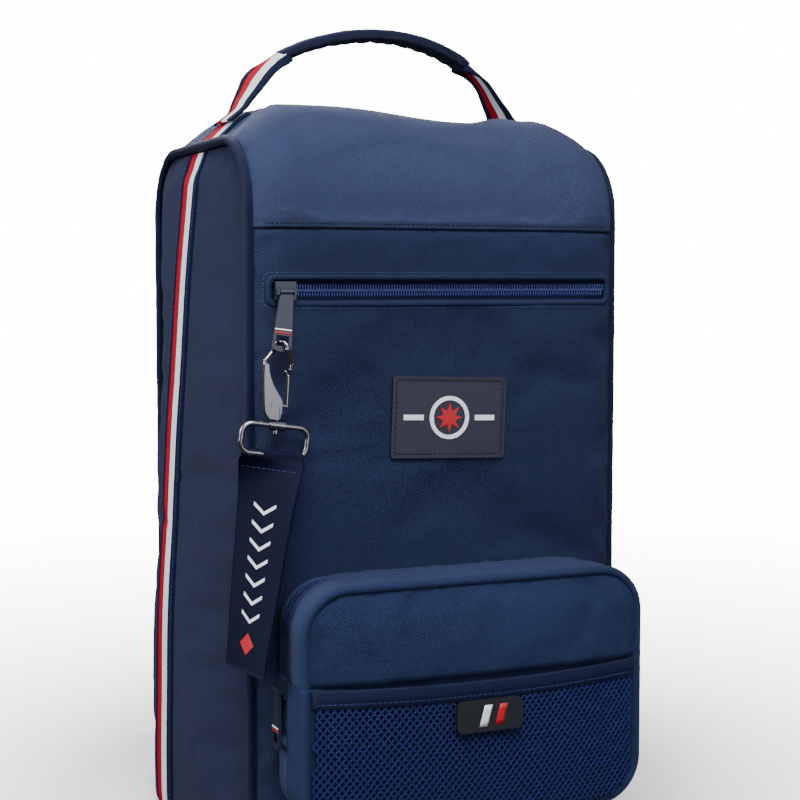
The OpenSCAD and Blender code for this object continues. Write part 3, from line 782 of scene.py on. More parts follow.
def make_base():
    columns = panel_columns()
    foot = [(FOOT_Z, 0)] + [(FOOT_R * (1 - math.sin(a)), FOOT_R * (1 - math.cos(a)))
                            for a in steps(0, math.pi / 2, 0.26)]
    soup = Soup()

    def place(x, k):
        k = int(round(k))
        front, back = front_at(x), back_at(x)
        if k < len(foot):
            z, inset = foot[k]
            return x, front + inset, z
        if k >= 100:
            z, inset = foot[len(foot) - 1 - (k - 100)]
            return x, back - inset, z
        share = (k - 50) / 12
        return x, front + FOOT_R + share * (back - front - 2 * FOOT_R), 0.0

    rows = list(range(len(foot))) + list(range(51, 62)) + list(range(100, 100 + len(foot)))
    soup.grid(columns, rows, place)
    soup.turn().map_cloth(lambda p: (p[0], p[1] + p[2]))
    soup.make("base_cloth", "bag", FRONT, "shell_fabric_dark", ["base_panel"], 1.6)


# ---------------------------------------------------------------- striped webbing

def laid_tape(soup, tree, middle, towards, half):
    """A tape spread along Y and laid on a surface, as a closed thin strip; returns its top rows."""
    towards = Vector(towards)
    thick = 1.3
    shares = [k / 7 for k in range(-7, 8)]
    across = [half * t for t in shares]
    tops, run, start = [], 0.0, len(soup.points)
    for i, centre in enumerate(middle):
        row = []
        for t in shares:
            place, normal = lay_on(tree, [Vector(centre) + Vector((0, half * t, 0))], towards)[0]
            normal = (normal - 0.5 * towards).normalized()
            row.append((place + normal * (thick if abs(t) < 0.97 else 0.7 * thick), normal))
        if i:
            run += (row[7][0] - tops[-1][7][0]).length
        tops.append(row)
        soup.points += [tuple(place) for place, _ in row]
        soup.points += [tuple(place - normal * thick * 0.9) for place, normal in reversed(row)]
        soup.cloth += [(u, run, 0) for u in across + across[::-1]]
    soup.rings(start, len(middle), 2 * len(shares))
    return tops


def make_webbing(sign, side_piece, roof_piece):
    name = SIDE_NAMES[sign]
    low, high = corners(f"webbing_{name}")
    half = (high.y - low.y) / 2
    threads, soup = Soup(), Soup()
    inner = 92
    side_rows = [(0, 0, z) for z in steps(low.z, ARCH - 3, 4)]
    roof_rows = [(sign * x, 0, ROOF) for x in steps(SEAM - 1.5, inner, 2.5)]
    for piece, rows, towards in ((side_piece, side_rows, (-sign, 0, 0)), (roof_piece, roof_rows, (0, 0, -1))):
        tops = laid_tape(soup, surface_of(piece), rows, towards, half)
        for k in (1, -2):
            sew(threads, [row[k] for row in tops])
    soup.make(f"webbing_tape_{name}", "bag", STRIPES, "striped_webbing", [f"webbing_{name}"])
    threads.make(f"webbing_thread_{name}", "bag", THREAD, "striped_webbing")


# ---------------------------------------------------------------- zips

# How far the two halves of a coil are moved along the chain so that their teeth mesh.
COIL_STEP = 0.42


def chain_half(soup, path, side):
    """Teeth of one half of a coil zip. path holds (place, out, across) frames; side is -1 or 1."""
    run, pitch = 0.0, 1.7
    for (a, out, across), (b, _, _) in zip(path, path[1:]):
        length = (b - a).length
        while run < length:
            p = a.lerp(b, run / length)
            soup.bead(p + across * side * 3.7, p + across * side * 0.9, 0.52, out, squash=1.0)
            soup.bead(p + across * side * 1.3 + out * 0.25, p - across * side * 0.45 + out * 0.25, 0.55, out)
            run += pitch
        run -= length


def make_front_zip(half):
    low, high = corners("front_zip_coil")
    zc, y = (low.z + high.z) / 2, (low.y + high.y) / 2
    tape_low, tape_high = corners("front_zip_tape")
    tape = Soup().grid(steps(-half - 2.5, half + 2.5, 6), steps(tape_low.z, tape_high.z, 2),
                       lambda x, z: (x, max(tape_low.y, front_at(x) + 2.2) + 0.3 * wobble(14, x, z, 0), z))
    tape.make("front_zip_tape_cloth", "bag", TAPE, "zip_tape", ["front_zip_tape"], 0.7)
    teeth = Soup()
    out, up = Vector((0, -1, 0)), Vector((0, 0, 1))
    for side in (-1, 1):
        path = [(Vector((x + COIL_STEP * side, y, zc)), out, up) for x in (low.x, high.x)]
        chain_half(teeth, path, side)
    teeth.make("front_zip_teeth", "bag", COIL, "zip_coil", ["front_zip_coil"])


def ring_path(x0, z0, x1, z1, r, step=3.0):
    """A closed rounded rectangle in (x, z), anticlockwise seen from the front, with its outward normals."""
    found = []
    left, right, low, high = x0 + r, x1 - r, z0 + r, z1 - r
    for cx, cz, a0 in ((right, low, -90), (right, high, 0), (left, high, 90), (left, low, 180)):
        for a in steps(a0, a0 + 90, 12):
            c, s = math.cos(math.radians(a)), math.sin(math.radians(a))
            found.append((cx + r * c, cz + r * s, c, s))
    full = []
    for i, p in enumerate(found):
        q = found[(i + 1) % len(found)]
        full.append(p)
        gap = math.hypot(q[0] - p[0], q[1] - p[1])
        for k in range(1, int(gap / step)):
            t = k / int(gap / step)
            full.append(tuple(a + (b - a) * t for a, b in zip(p, q)))
    return full


def make_slot_lip(slot, panel):
    z0, z1, half = slot
    ring = ring_path(-half, z0, half, z1, 3.2, 4)
    profile = [(2.6, 0.05), (1.9, 0.5), (1.0, 0.85), (0.2, 0.6), (-0.4, -0.4), (-0.5, -1.8)]
    soup = Soup()

    def place(i, j):
        x, z, nx, nz = ring[int(i)]
        out, lift = profile[int(j)]
        y = front_at(x) - 0.4 * wobble(16, x, z, 3) * (lift > 0)
        return x + nx * out, y - lift, z + nz * out

    soup.grid(list(range(len(ring))), list(range(len(profile))), place, closed=True)
    soup.turn().map_cloth()
    soup.make("slot_lip", "bag", FRONT, "shell_fabric_dark", (), 0.5)
    outer = ring_path(-half - 3.6, z0 - 3.6, half + 3.1, z1 + 3.6, 4.0, 3)
    laid = lay_on(surface_of(panel), [(x, 0, z) for x, z, _, _ in outer + outer[:1]], (0, 1, 0))
    stitch("slot_thread", "bag", "shell_fabric_dark", laid)


# ---------------------------------------------------------------- cargo pocket

gusset_low, gusset_high = corners("pocket_gusset")
lid_low, lid_high = corners("lid_gusset")
hem_low = corners("mesh_hem")[0]
face_low, face_high = corners("pocket_front")
POCKET_X, POCKET_Z0, POCKET_Z1, POCKET_R = gusset_high.x, gusset_low.z, lid_high.z, 26.0
POCKET_FACE, BAND_Y = face_low.y, lid_low.y
FOLD_Z = face_high.z
ZIP_Y0, ZIP_Y1 = corners("lid_zip")[0].y, corners("pocket_zip_fixed")[1].y
ZIP_MID = corners("lid_zip")[1].y


def split_ring(low):
    """The part of the pocket's outline below or above the height where its lid folds."""
    ring = ring_path(-POCKET_X, POCKET_Z0, POCKET_X, POCKET_Z1, POCKET_R)
    inside = [p[1] < FOLD_Z if low else p[1] > FOLD_Z for p in ring]
    first = next(i for i in range(len(ring)) if inside[i] and not inside[i - 1])
    ordered = ring[first:] + ring[:first]
    part = ordered[:sum(inside)]
    head, tail = [(p[0], FOLD_Z, p[2], 0.0) for p in (part[0], part[-1])]
    return [head] + part + [tail]


def gusset_sheet(name, body, part, y0, y1, material, replaces, crown, ripple, seed):
    """A band of fabric along part of the pocket's outline, between two depths."""
    deep = steps(y0, y1, 2.6)
    runs = distances([Vector(p[:2]) for p in part])

    def place(i, y):
        x, z, nx, nz = part[int(i)]
        t = (y - y0) / (y1 - y0)
        out = crown * 4 * t * (1 - t) - 0.6
        full = math.sin(math.pi * min(1, max(0.08, t)))
        out += ripple * wobble(9, runs[int(i)] * 0.9, y * 0.25, seed) * full
        out += 0.6 * ripple * wobble(30, runs[int(i)], y, seed + 5)
        return x + nx * out, y, z + nz * out

    soup = Soup().grid(list(range(len(part))), deep, place)
    soup.cloth = [(runs[int(u)], v, 0) for u, v, _ in soup.cloth]
    return soup.make(name, body, material, "shell_fabric", replaces, 1.2)


def face_sheet(name, body, z0, z1, y, material, slot, replaces, bulge, seed):
    """The pocket's front inside its piping, between two heights. It bows out most at the lid's fold."""
    def half_width(z):
        inset = 1.5
        x, r = POCKET_X - inset, POCKET_R - inset
        for centre, side in ((POCKET_Z0 + POCKET_R, -1), (POCKET_Z1 - POCKET_R, 1)):
            d = (z - centre) * side
            if d > 0:
                return inside_corner(x, r, d)
        return x

    top = POCKET_Z1 - 1.5
    rows = sorted(set([z0] + steps(z0, min(z1, top), 3.4)
                      + [top - d for d in (0, 0.3, 0.9, 1.8, 3.2) if z0 < top - d < z1]))
    rows = [z for z in rows if POCKET_Z0 + 1.5 <= z <= top]
    across = mirrored(0.86, 0.033, [0.9, 0.93, 0.955, 0.975, 0.99, 1])

    def place(t, z):
        x = t * half_width(z)
        rim = min(half_width(z) - abs(x), (top - z) if z > POCKET_Z1 - 60 else 99, 40)
        out = bulge * (1 - math.exp(-max(0, rim) / 9))
        out += 5.5 * (1 - t * t) * crease(z - FOLD_Z + 4, 34)
        fold = crease(abs(x) - POCKET_X + 14, 10)
        out += fold * (1.4 * wobble(8, x, z * 0.13, seed))
        out += 0.8 * wobble(45, x, z, seed + 2) * min(1, rim / 12)
        return x, y - out, z

    soup = Soup().grid(across, rows, place)
    soup.map_cloth()
    return soup.make(name, body, material, slot, replaces, 1.2)


def make_pocket():
    low_part, high_part = split_ring(True), split_ring(False)
    rear = corners("pocket_back_strip")[1].y + 0.5
    front = ZIP_Y0 - 0.2
    for sheet in (
            # The low gusset gets the darker pocket cloth instead of the shell cloth: painted shade on the
            # pocket's sides.
            ("low_gusset_painted_shade", "bag", low_part, BAND_Y, front, POCKET, ["pocket_gusset"], 1.2, 0.7, 3),
            ("gusset_cloth_rear", "bag", low_part, ZIP_Y0 + 0.2, rear, SHELL, [], 0.4, 0.5, 5),
            ("lid_cloth_side", "pocket_lid", high_part, BAND_Y, front, SHELL, ["lid_gusset"], 1.6, 0.9, 7),
            ("strip_cloth", "bag", high_part, ZIP_Y1 - 0.4, rear, SHELL, ["pocket_back_strip"], 0.3, 0.4, 9)):
        gusset_sheet(*sheet)
    face_sheet("pocket_face_cloth", "bag", POCKET_Z0, FOLD_Z, POCKET_FACE + 1.2, FRONT, "shell_fabric_dark",
               ["pocket_front"], 0.4, 21)
    lid = face_sheet("lid_face_cloth", "pocket_lid", FOLD_Z + 0.5, POCKET_Z1, POCKET_FACE + 1.8, POCKET,
                     "shell_fabric_dark", ["lid_panel"], 3.6, 13)
    settle(lid, lambda p: p[2] < FOLD_Z + 2 or p[2] > POCKET_Z1 - 3 or abs(p[0]) > POCKET_X - 3,
           1.5, 0.012, 2.0)
    pipe_y = (corners("lid_piping")[0].y + corners("lid_piping")[1].y) / 2
    for name, node, body, part in (("low", "pocket_piping", "bag", low_part),
                                   ("lid", "lid_piping", "pocket_lid", high_part)):
        path = [(x, pipe_y + 0.2 * wobble(11, x, z, 2), z) for x, z, _, _ in part]
        Soup().tube(path, lambda s: 2.9 * (0.97 + 0.06 * wobble(5, s, 1.0, 4.0)), 12, up=(0, 1, 0)).make(
            f"pocket_piping_{name}", body, POCKET, "piping_fabric", [node])
    make_pocket_zip(high_part)
    make_flap()


def make_pocket_zip(part):
    """The coil round the lid: one half rides on the lid, the other stays on the bag."""
    for name, node, body, y, side in (("lid", "lid_zip", "pocket_lid", ZIP_MID, -1),
                                      ("fixed", "pocket_zip_fixed", "bag", ZIP_MID, 1)):
        soup = Soup()
        path = []
        for x, z, nx, nz in part:
            out = Vector((nx, 0, nz))
            place = Vector((x, y, z)) + out * 0.2 + Vector((nz, 0, -nx)) * COIL_STEP * side
            path.append((place, out, Vector((0, 1, 0))))
        chain_half(soup, path, side)
        tape = Soup()
        edge = ZIP_Y0 - 1 if side < 0 else ZIP_Y1 + 1
        mid = y + side * 0.1
        tape.grid(list(range(len(part))), [0, 1, 2],
                  lambda i, j: (part[int(i)][0] - part[int(i)][2] * 0.9, mid + (edge - mid) * j / 2,
                                part[int(i)][1] - part[int(i)][3] * 0.9))
        tape.map_cloth(lambda p: (p[0] + p[2], p[1]))
        tape.make(f"pocket_tape_{name}", body, TAPE, "zip_coil", (), 0.6)
        soup.make(f"pocket_teeth_{name}", body, COIL, "zip_coil", [node])


def make_flap():
    low, high = corners("lid_flap")
    xs = steps(low.x - 6, high.x + 6, 2.5)
    ys = steps(low.y - 4, high.y + 0.5, 1.6)

    def place(x, y):
        t = (y - ys[0]) / (ys[-1] - ys[0])
        z = high.z - 1.2 + 1.6 * math.sin(math.pi * min(1, t * 1.1)) + 1.8 * t
        z += 0.8 * wobble(7, x, y * 0.3, 6) * (0.3 + t) - 2.2 * crease(t, 0.12)
        z -= 3.4 * (max(0, abs(x) - 70) / 14) ** 2
        return x, y, z

    soup = Soup().grid(xs, ys, place)
    soup.map_cloth(lambda p: (p[0], p[1]))
    flap = soup.make("lid_flap_cloth", "pocket_lid", SHELL, "shell_fabric", ["lid_flap"], 1.0)
    laid = lay_on(surface_of(flap), [(x, low.y + 1.2, 0) for x in xs[2:-2]], (0, 0, -1))
    stitch("flap_thread", "pocket_lid", "shell_fabric", laid)


HEM_SAG = 0.9


def make_mesh_pocket():
    net_low, net_high = corners("pocket_mesh")
    half = net_high.x
    y_edge, y_mid = net_high.y, net_low.y
    bow = y_edge - y_mid
    radius = (half * half + bow * bow) / (2 * bow)

    def bowed(x, z, lift=0.0):
        y = y_edge - bow + radius - math.sqrt(radius * radius - x * x)
        low = max(0.0, (hem_low.z - z) / (hem_low.z - POCKET_Z0))
        y += bow * 0.35 * low ** 3 * (1 - (x / half) ** 2)
        y += 0.9 * wobble(60, x, z, 14) * (1 - abs(x) / half)
        return Vector((x, y - lift, z))

    def width(z):
        d = POCKET_Z0 + POCKET_R - z
        return half if d <= 0 else inside_corner(POCKET_X - 3, POCKET_R - 3, d)

    strands = Soup()
    pitch, rise = 4.1, 2.5
    rows = int((hem_low.z + 5 - POCKET_Z0 - 3.5) / rise)

    def knot(i, j):
        z = hem_low.z + 5 - j * rise
        x = -half + (i + 0.5 * (j % 2)) * pitch
        warp = 0.9 * wobble(26, x, z, 5)
        return x + warp, z + 0.5 * warp

    for j in range(rows):
        for i in range(int(2 * half / pitch) + 1):
            x, z = knot(i, j)
            for k in ((i - 1 + j % 2), (i + j % 2)):
                xe, ze = knot(k, j + 1)
                if abs(x) > width(z) or abs(xe) > width(ze):
                    continue
                a, b = bowed(x, z), bowed(xe, ze)
                strands.bead(a, b, 0.62, (0, -1, 0), 5, 0.75)
    strands.make("pocket_net", "bag", NET, "mesh_net", ["pocket_mesh"])

    hem_rows = steps(hem_low.z + 2, FOLD_Z - 0.8, 1.5)

    def hem_place(x, z):
        sag = HEM_SAG * (1 - (x / half) ** 2)
        p = bowed(x, z - sag, 0.9)
        t = (z - hem_rows[0]) / (hem_rows[-1] - hem_rows[0])
        p.y -= 0.8 * math.sin(math.pi * t) - 0.9 * crease(t - 0.2, 0.08) + 0.25 * wobble(10, x, z * 0.4, 3)
        return p

    soup = Soup().grid(steps(-half, half, 3.2), hem_rows, hem_place)
    hem = soup.make("hem_band", "bag", HEM, "hem_tape", ["mesh_hem"], 1.8)
    row = [(x, 0, hem_low.z + 4.2 - HEM_SAG * (1 - (x / half) ** 2)) for x in steps(-half + 2, half - 2, 3)]
    stitch("hem_thread", "bag", "hem_tape", lay_on(surface_of(hem), row, (0, 1, 0)))


# ---------------------------------------------------------------- handle

# The grip sits slightly left of the bag's middle, and its crest leans to the right.
GRIP_X = -0.8


def grip_line():
    """Centre line of the grip in (x, z), and its slope at each point."""
    half, end, top, thick, skew = 66.5, 487.0, corners("handle_grip")[1].z, 9.0, 4.0
    sag = top - thick / 2 - end
    r = (half * half + sag * sag) / (2 * sag)
    limit = math.asin(half / r)
    return [(r * math.sin(a) + skew * (1 - (r * math.sin(a) / half) ** 2),
             top - thick / 2 - r + r * math.cos(a), a) for a in steps(-limit, limit, 0.017)]


def make_grip():
    line = grip_line()
    soup = Soup()
    ring = 24
    run = 0.0
    for i, (x, z, a) in enumerate(line):
        if i:
            run += math.hypot(x - line[i - 1][0], z - line[i - 1][1])
        ends = min(1.0, min(i, len(line) - 1 - i) / 3)
        across, up = 10.4 - 1.2 * (1 - ends), 4.6 - 0.6 * (1 - ends)
        scallop = math.sin(run / 1.6 + 2.5 * wobble(16, run, 0, 3))
        for k in range(ring):
            b = 2 * math.pi * k / ring
            c, s = math.cos(b), math.sin(b)
            under = max(0, -s)
            pucker = (0.75 * scallop + 0.4 * wobble(4.5, run, b * 2, 1.0)) * under
            pucker += 0.25 * wobble(9, run, b, 4)
            y = (across + pucker) * math.copysign(abs(c) ** 0.75, c)
            n = (up + pucker) * math.copysign(abs(s) ** 0.8, s) * (1 - 0.2 * under ** 2)
            soup.points.append((x + n * math.sin(a) + GRIP_X, y, z + n * math.cos(a)))
            soup.cloth.append((run, b * 7, 0))
    for i in range(len(line) - 1):
        for k in range(ring):
            p, q = i * ring, (i + 1) * ring
            soup.faces.append([p + k, q + k, q + (k + 1) % ring, p + (k + 1) % ring])
    soup.faces.append(list(range(ring)))
    soup.faces.append([(len(line) - 1) * ring + k for k in reversed(range(ring))])
    grip = soup.make("grip_cloth", "handle", BINDING, "piping_fabric", ["handle_grip"], 0, 1)
    threads = Soup()
    for y in (-6.4, 6.4):
        under = [(x + GRIP_X, y, z) for x, z, _ in line[1:-1]]
        sew(threads, lay_on(surface_of(grip), under, (0, 0, 1)), 3.4, 2.5, 0.4, -0.1)
    threads.make("grip_thread", "handle", THREAD, "piping_fabric")


def curve_through(marks, count):
    """A smooth curve through marks, with count points for each stretch between two of them."""
    found = []
    for i in range(1, len(marks) - 2):
        a, b, c, d = marks[i - 1:i + 3]
        for k in range(count):
            t = k / count
            found.append(0.5 * (2 * b + (c - a) * t + (2 * a - 5 * b + 4 * c - d) * t * t
                                + (3 * b - a - 3 * c + d) * t ** 3))
    return found + [marks[-2]]


def make_legs():
    """The handle's webbing: flat and sewn at the roof, curling round into the grip."""
    line = grip_line()
    for sign in (-1, 1):
        name = SIDE_NAMES[sign]
        x1, z1 = abs(line[0][0]), line[0][1]
        marks = [Vector((x, 0, z)) for x, z in (
            (108, roof_at(108) + 2.6), (104, roof_at(104) + 2.7), (98, roof_at(98) + 2.9),
            (94, roof_at(94) + 4), (91, ROOF + 7), (86.5, ROOF + 14), (80.5, ROOF + 23.5),
            (x1 + 5.5, z1 - 4), (x1 - 3, z1 + 1.5), (x1 - 12, z1 + 7))]
        points = curve_through(marks, 6)
        soup = Soup()
        columns, run = 17, 0.0
        for i, p in enumerate(points):
            q, o = points[min(i + 1, len(points) - 1)], points[max(i - 1, 0)]
            along = (q - o).normalized()
            out = Vector((-along.z, 0, along.x)) * -1
            if out.x < 0:
                out = -out
            if i:
                run += (p - points[i - 1]).length
            gone = min(1, max(0, (run - 40) / 24))
            curl = math.radians(8 + 135 * gone ** 2.2)
            p = p + out * 3.4 * gone ** 2
            twist = math.radians(11) * min(1, max(0, (run - 12) / 24)) * (1 - 0.6 * gone ** 2)
            for k in range(columns):
                u = -TAPE_HALF + 2 * TAPE_HALF * k / (columns - 1)
                r = TAPE_HALF / curl
                angle = u / r
                hollow = r * (1 - math.cos(angle)) * (0.6 - 0.08 * gone)
                place = p + Vector((0, r * math.sin(angle), 0)) - out * hollow
                place += out * r * math.sin(angle) * math.sin(twist)
                soup.points.append((sign * place.x + GRIP_X, place.y, place.z))
                soup.cloth.append((u, run, 0))
        for i in range(len(points) - 1):
            for k in range(columns - 1):
                a, b = i * columns + k, (i + 1) * columns + k
                quad = [a, a + 1, b + 1, b]
                soup.faces.append(quad if sign < 0 else quad[::-1])
        leg = soup.make(f"leg_{name}", None, STRIPES, "striped_webbing", ["handle_webbing"], 1.5)
        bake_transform(leg)


# ---------------------------------------------------------------- patch, tag and hardware

def make_patch():
    low, high = corners("patch")
    lean = Matrix.Rotation(math.radians(2), 3, "Y")
    centre = Vector((0, low.y, (low.z + high.z) / 2))
    finish_cad("patch", PATCH, 0.25)
    finish_cad("patch_emblem_white", PRINT_WHITE, 0.12)
    finish_cad("patch_emblem_red", PRINT_RED, 0.12)
    ring = ring_path(-35, -22, 35, 22, 0.8, 3)
    row = [(centre + lean @ Vector((x, 0.62, z)), Vector((0, -1, 0))) for x, z, _, _ in ring + ring[:1]]
    stitch("patch_thread", "bag", "patch_rubber", row, 3.0, 2.1, 0.4, 0.05, material=PATCH_THREAD)


def tag_frame(h):
    """Centre, across and out directions of the strap, h below the ring's lower bar."""
    place = joint_place("tag_swing")
    length = 127.0
    lean = Matrix.Rotation(math.radians(8), 3, "Y")
    turn = -math.radians(46 * (1 - math.exp(-h / 9)) + 28 * h / length)
    spin = Matrix.Rotation(turn, 3, "Z")
    centre = place + lean @ Vector((0, 1.2 * math.sin(h / 45), -h))
    return centre, lean @ spin @ Vector((1, 0, 0)), lean @ spin @ Vector((0, -1, 0))


def make_tag():
    half, bottom = TAPE_HALF, 126.0
    soup = Soup()
    heights = steps(1.5, bottom, 2.2)
    across = steps(-1, 1, 0.1)
    for side in (-1, 1):
        def place(t, h):
            centre, along, out = tag_frame(h)
            gap = 0.75 + 1.9 * math.exp(-((h - 1) / 4.2) ** 2)
            gap += 0.18 * wobble(14, t * half, h, 2 + side) - 0.35 * crease(h - 8.5, 1.0)
            zig = 0.9 * abs(((t * half) / 2.2) % 1 - 0.5) * 2 if h > bottom - 0.5 else 0
            wide = 1 if h > 4 else 0.92 + 0.02 * h
            return centre + along * half * t * wide + out * side * gap - Vector((0, 0, zig))

        part = Soup().grid(across, heights, place)
        if side < 0:
            part.turn()
        part.cloth = [(t * half, h, 0) for t, h, _ in part.cloth]
        soup.add(part)
    rows = len(heights)
    back = len(across) * rows
    for i in range(len(across) - 1):
        a, b = i * rows + rows - 1, (i + 1) * rows + rows - 1
        soup.faces.append([a, b, back + b, back + a])
    for i in (0, len(across) - 1):
        for j in range(i * rows, i * rows + rows - 1):
            soup.faces.append([j, j + 1, back + j + 1, back + j])
    loop_rows = 9
    centre, along, out = tag_frame(heights[0])
    for t in across:
        for k in range(1, loop_rows):
            a = math.pi * k / loop_rows
            top = centre + along * half * t * 0.92 - out * 2.6 * math.cos(a)
            top += Vector((0.14, 0, 0.99)) * (heights[0] + 2.6 * math.sin(a))
            soup.points.append(tuple(top))
            soup.cloth.append((t * half, -k, 0))

    def column(i):
        """The points over the ring's bar, from one face of the strap to the other."""
        loop = 2 * back + i * (loop_rows - 1)
        return [i * rows, *range(loop, loop + loop_rows - 1), back + i * rows]

    for i in range(len(across) - 1):
        a, b = column(i), column(i + 1)
        for k in range(len(a) - 1):
            soup.faces.append([a[k], b[k], b[k + 1], a[k + 1]])
    strap = soup.make("tag_ribbon", "tag", SATIN, "tag_satin", ["tag_strap"])
    make_tag_print(half)


def on_tag(u, h, lift=1.05):
    centre, along, out = tag_frame(h)
    return centre + along * u + out * lift


def make_tag_print(half):
    """A column of chevrons and a small diamond, printed down the ribbon."""
    white = Soup()
    for row in range(7):
        h0 = 28 + row * 10.5
        for side in (-1, 1):
            white.grid(steps(0, 1, 0.12), steps(0, 1, 0.5),
                       lambda s, w: on_tag(side * 7.5 * s, h0 + 5 * (1 - s) + 2.2 * w))
    white.make("tag_print_white", "tag", PRINT_WHITE, "print_white")
    red = Soup()
    red.grid(steps(-1, 1, 0.25), steps(-1, 1, 0.25), lambda s, t: on_tag(3.2 * (s + t), 110 + 3.2 * (s - t)))
    red.make("tag_print_red", "tag", PRINT_RED, "print_red")
    centre, along, out = tag_frame(8.5)
    row = [(centre + along * half * t + out * 0.85, out) for t in steps(-0.9, 0.9, 0.1)]
    stitch("tag_thread", "tag", "tag_satin", row, 3.0, 2.2, 0.32)


def make_hardware():
    for node in ("front_slider", "pocket_slider", "back_slider_left", "back_slider_right",
                 "front_puller", "pocket_puller", "back_puller_left", "back_puller_right"):
        finish_cad(node, SLATE, 0.3)
    for node, bevel in (("clasp_body", 0.5), ("clasp_rivet", 0.25), ("clasp_gate", 0.3), ("swivel_eye", 0.3),
                        ("swivel_ring", 0)):
        finish_cad(node, GUNMETAL, bevel)
    for node, lean, tilt, turn in (("front_puller", 8, 5.5, 0), ("pocket_puller", 0, 0, -90)):
        pin = joint_place(f"{node}_swing")
        basis = (Matrix.Rotation(math.radians(turn), 3, "Z") @ Matrix.Rotation(math.radians(-tilt), 3, "X")
                 @ Matrix.Rotation(math.radians(lean), 3, "Y"))
        for z, material, name in ((-22, PRINT_WHITE, "white"), (-23.9, PRINT_RED, "red")):
            half = 4.05 + 1.8 * (-z - 5) / 28
            left, right = [basis @ Vector((x, -1.22, z)) + pin for x in (-half, half)]
            bar = Soup()
            bar.bead(left, right, 0.5, basis @ Vector((0, -1, 0)), 8, 0.45)
            bar.make(f"{node}_line_{name}", f"{node}_body", material, f"print_{name}")


def make_label():
    low, high = corners("hem_label")
    finish_cad("hem_label", LABEL, 0.6)
    y = low.y - 0.1
    for x, material, name in ((-7.0, PRINT_WHITE, "white"), (3.0, PRINT_RED, "red")):
        soup = Soup()
        z0, z1 = low.z + 3.2, high.z - 3.4
        soup.grid(steps(0, 1, 0.25), steps(0, 1, 0.25),
                  lambda s, t: (x + 5.0 * s + 3.4 * t, y, z0 + (z1 - z0) * t))
        soup.make(f"label_bar_{name}", "bag", material, f"print_{name}", (), 0.3)


def make_pad(name, body, node, us, vs, place, thick):
    """A lined foam pad over a grid of places, standing for a CAD node."""
    soup = Soup().grid(us, vs, place)
    soup.make(name, body, LINING, "lining", [node], thick, 1)


def make_inside():
    finish_cad("base_board", BOARD)
    for name, body, node in (("front_pad", "bag", "front_foam"), ("door_pad", "back_door", "door_foam"),
                             ("slot_pouch", "bag", "front_pocket_pouch")):
        low, high = corners(node)
        edge = 4.0

        def flat(x, z):
            rim = min(x - low.x, high.x - x, z - low.z, high.z - z)
            inside = 1 if high.y < 0 else -1
            lift = 0.8 * min(1, rim / edge) + 0.5 * wobble(40, x, z, low.z)
            return x, (low.y + high.y) / 2 + inside * lift, z

        make_pad(name, body, node, steps(low.x, high.x, 5), steps(low.z, high.z, 5), flat,
                 high.y - low.y - 1.2)
    for sign, name in SIDE_NAMES.items():
        low, high = corners(f"side_foam_{name}")

        def curved(t, z):
            y = t * min(high.y, side_half_depth(z) - 4) * sign
            return sign * (side_out(y, z) - 5.2 + 0.5 * wobble(50, y, z, 3)), y, z

        make_pad(f"side_pad_{name}", "bag", f"side_foam_{name}", steps(-1, 1, 0.05), steps(low.z, high.z, 5),
                 curved, 2.2)


DOOR_HALF, DOOR_FOOT, DOOR_TOP, DOOR_R = door_high.x, door_low.z, door_high.z, 40.0
CHAIN = 8.0


def door_ring(grown):
    """The door's outline grown by some distance, from the lower left over the top: (x, z, outward)."""
    r, half, top = DOOR_R + grown, DOOR_HALF + grown, DOOR_TOP + grown
    corner = math.atan2(BACK_SHOULDER_Z - DOOR_TOP + DOOR_R, SEAM - DOOR_HALF + DOOR_R)
    left = [(-half, z, -1.0, 0.0) for z in steps(DOOR_FOOT, top - r, 4)[:-1]]
    left += [(r - half - r * math.cos(a), top - r + r * math.sin(a), -math.cos(a), math.sin(a))
             for a in sorted(steps(0, math.pi / 2, 0.09) + [corner])]
    left += [(x, top, 0.0, 1.0) for x in steps(r - half, 0, 4)[1:]]
    return left + [(-x, z, -nx, nz) for x, z, nx, nz in reversed(left[:-1])]


def ring_band(inner, outer, shares, lift):
    """A band of cloth on the back between two outlines, with extra depth lift(share, x, z)."""
    def place(i, t):
        (x0, z0), (x1, z1) = inner[int(i)][:2], outer[int(i)][:2]
        x, z = x0 + t * (x1 - x0), z0 + t * (z1 - z0)
        return x, back_surface(x, z) + lift(t, x, z), z

    soup = Soup().grid(list(range(len(inner))), shares, place)
    soup.turn().map_cloth()
    return soup


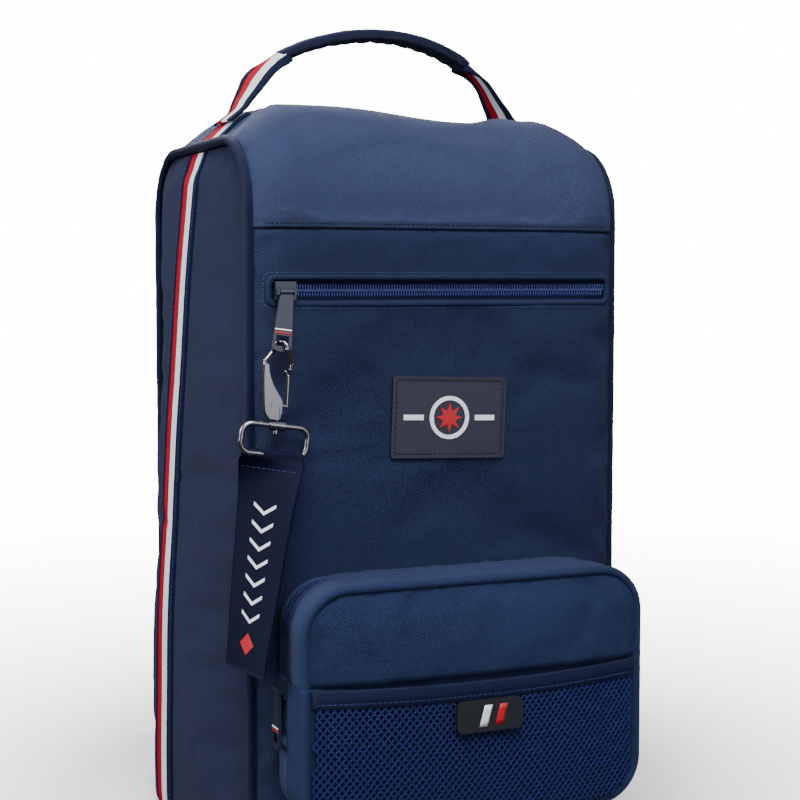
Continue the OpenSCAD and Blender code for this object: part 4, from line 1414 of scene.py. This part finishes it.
def make_back():
    ring = door_ring(CHAIN)
    border = []
    for x, z, nx, nz in ring:
        if abs(nx) > 0.999:
            border.append((math.copysign(SEAM, nx), z))
        elif nz > 0.999:
            border.append((x, BACK_SHOULDER_Z))
        else:
            cx, cz = x - nx * (DOOR_R + CHAIN), z - nz * (DOOR_R + CHAIN)
            reach = min((SEAM - abs(cx)) / abs(nx), (BACK_SHOULDER_Z - cz) / nz)
            border.append((cx + nx * reach, cz + nz * reach))
    shares = [0, 0.05, 0.12, 0.22, 0.35, 0.5, 0.65, 0.8, 0.88, 0.94, 0.98, 1]
    soup = ring_band(ring, border, shares,
                     lambda t, x, z: 0.9 * crease(t - 0.14, 0.1) - 1.0 * crease(t, 0.05)
                     + 0.5 * wobble(30, x, z, 8) * (1 - t))
    strip = Soup().grid(panel_columns(), steps(FOOT_Z, DOOR_FOOT, 3), lambda x, z: (x, back_surface(x, z), z))
    soup.add(strip.turn())
    frame_piece = soup.make("back_frame_cloth", "bag", SHELL, "shell_fabric", ["back_frame"], 1.6)

    def half_width(z):
        return inside_corner(DOOR_HALF, DOOR_R, max(0.0, z - DOOR_TOP + DOOR_R))

    across = mirrored(0.85, 0.05, [0.9, 0.94, 0.965, 0.985, 1])
    rows = steps(DOOR_FOOT, DOOR_TOP - 12, 5) + [DOOR_TOP - d for d in (8, 5, 3, 1.5, 0.6, 0.1)]

    def door_place(t, z):
        x = t * half_width(z)
        rim = min(half_width(z) - abs(x), DOOR_TOP - z)
        out = 2.6 * (1 - math.exp(-max(0, rim) / 8)) - 0.8 + 1.5 * wobble(85, x, z, 21) * min(1, rim / 20)
        return x, back_surface(x, z) + out, z

    soup = Soup().grid(across, rows, door_place)
    soup.turn().map_cloth()
    door = soup.make("door_cloth", "back_door", SHELL, "shell_fabric", ["door_panel"], 1.6)
    settle(door, lambda p: half_width(p[2]) - abs(p[0]) < 2 or p[2] > DOOR_TOP - 2 or p[2] < DOOR_FOOT + 1,
           2.0, 0.012, 2.5)
    low, high = corners("door_zip")
    y = (low.y + high.y) / 2
    middle = door_ring(CHAIN / 2)
    for name, node, body, side in (("door", "door_zip", "back_door", -1),
                                   ("back", "back_zip_fixed", "bag", 1)):
        path = [(Vector((x, y, z)) + Vector((nz, 0, -nx)) * COIL_STEP * side, Vector((0, 1, 0)),
                 Vector((nx, 0, nz))) for x, z, nx, nz in middle]
        teeth = Soup()
        chain_half(teeth, path, side)
        teeth.make(f"{name}_teeth", body, COIL, "zip_coil", [node])
        edge = door_ring(CHAIN / 2 + side * (CHAIN / 2 + 1))
        inner, outer = (edge, middle) if side < 0 else (middle, edge)
        tape = ring_band(inner, outer, [0, 0.5, 1], lambda t, x, z: y - 1.2 - back_surface(x, z))
        tape.make(f"{name}_tape", body, TAPE, "zip_tape", (), 0.6)
    for name, body, piece, grown in (("back_thread", "bag", frame_piece, CHAIN + 4),
                                     ("door_thread", "back_door", door, -4)):
        row = [(x, 0, z) for x, z, _, _ in door_ring(grown)]
        stitch(name, body, "shell_fabric", lay_on(surface_of(piece), row, (0, -1, 0)))


make_camera()
make_studio()
front_piece, slot = make_front_panel()
shoulder_piece = make_shoulder()
left_piece, right_piece = make_side(-1), make_side(1)
make_piping(-1)
make_piping(1)
make_base()
make_webbing(-1, left_piece, shoulder_piece)
make_webbing(1, right_piece, shoulder_piece)
make_front_zip(slot[2])
make_slot_lip(slot, front_piece)
make_pocket()
make_mesh_pocket()
make_grip()
make_legs()
make_patch()
make_tag()
make_hardware()
make_label()
make_inside()
make_back()

# The shoulder's stitches take the darker seam thread, whose colour holds painted shade.
seam_row = [(x, 0, SHOULDER_Z + SEAM_STITCH) for x in steps(-113, 113, 3)]
stitch("shoulder_thread", "bag", "shell_fabric", lay_on(surface_of(shoulder_piece), seam_row, (0, 1, 0)),
       2.9, 2.1, 0.58, 0.35, material=SHADED_STITCH_THREAD)
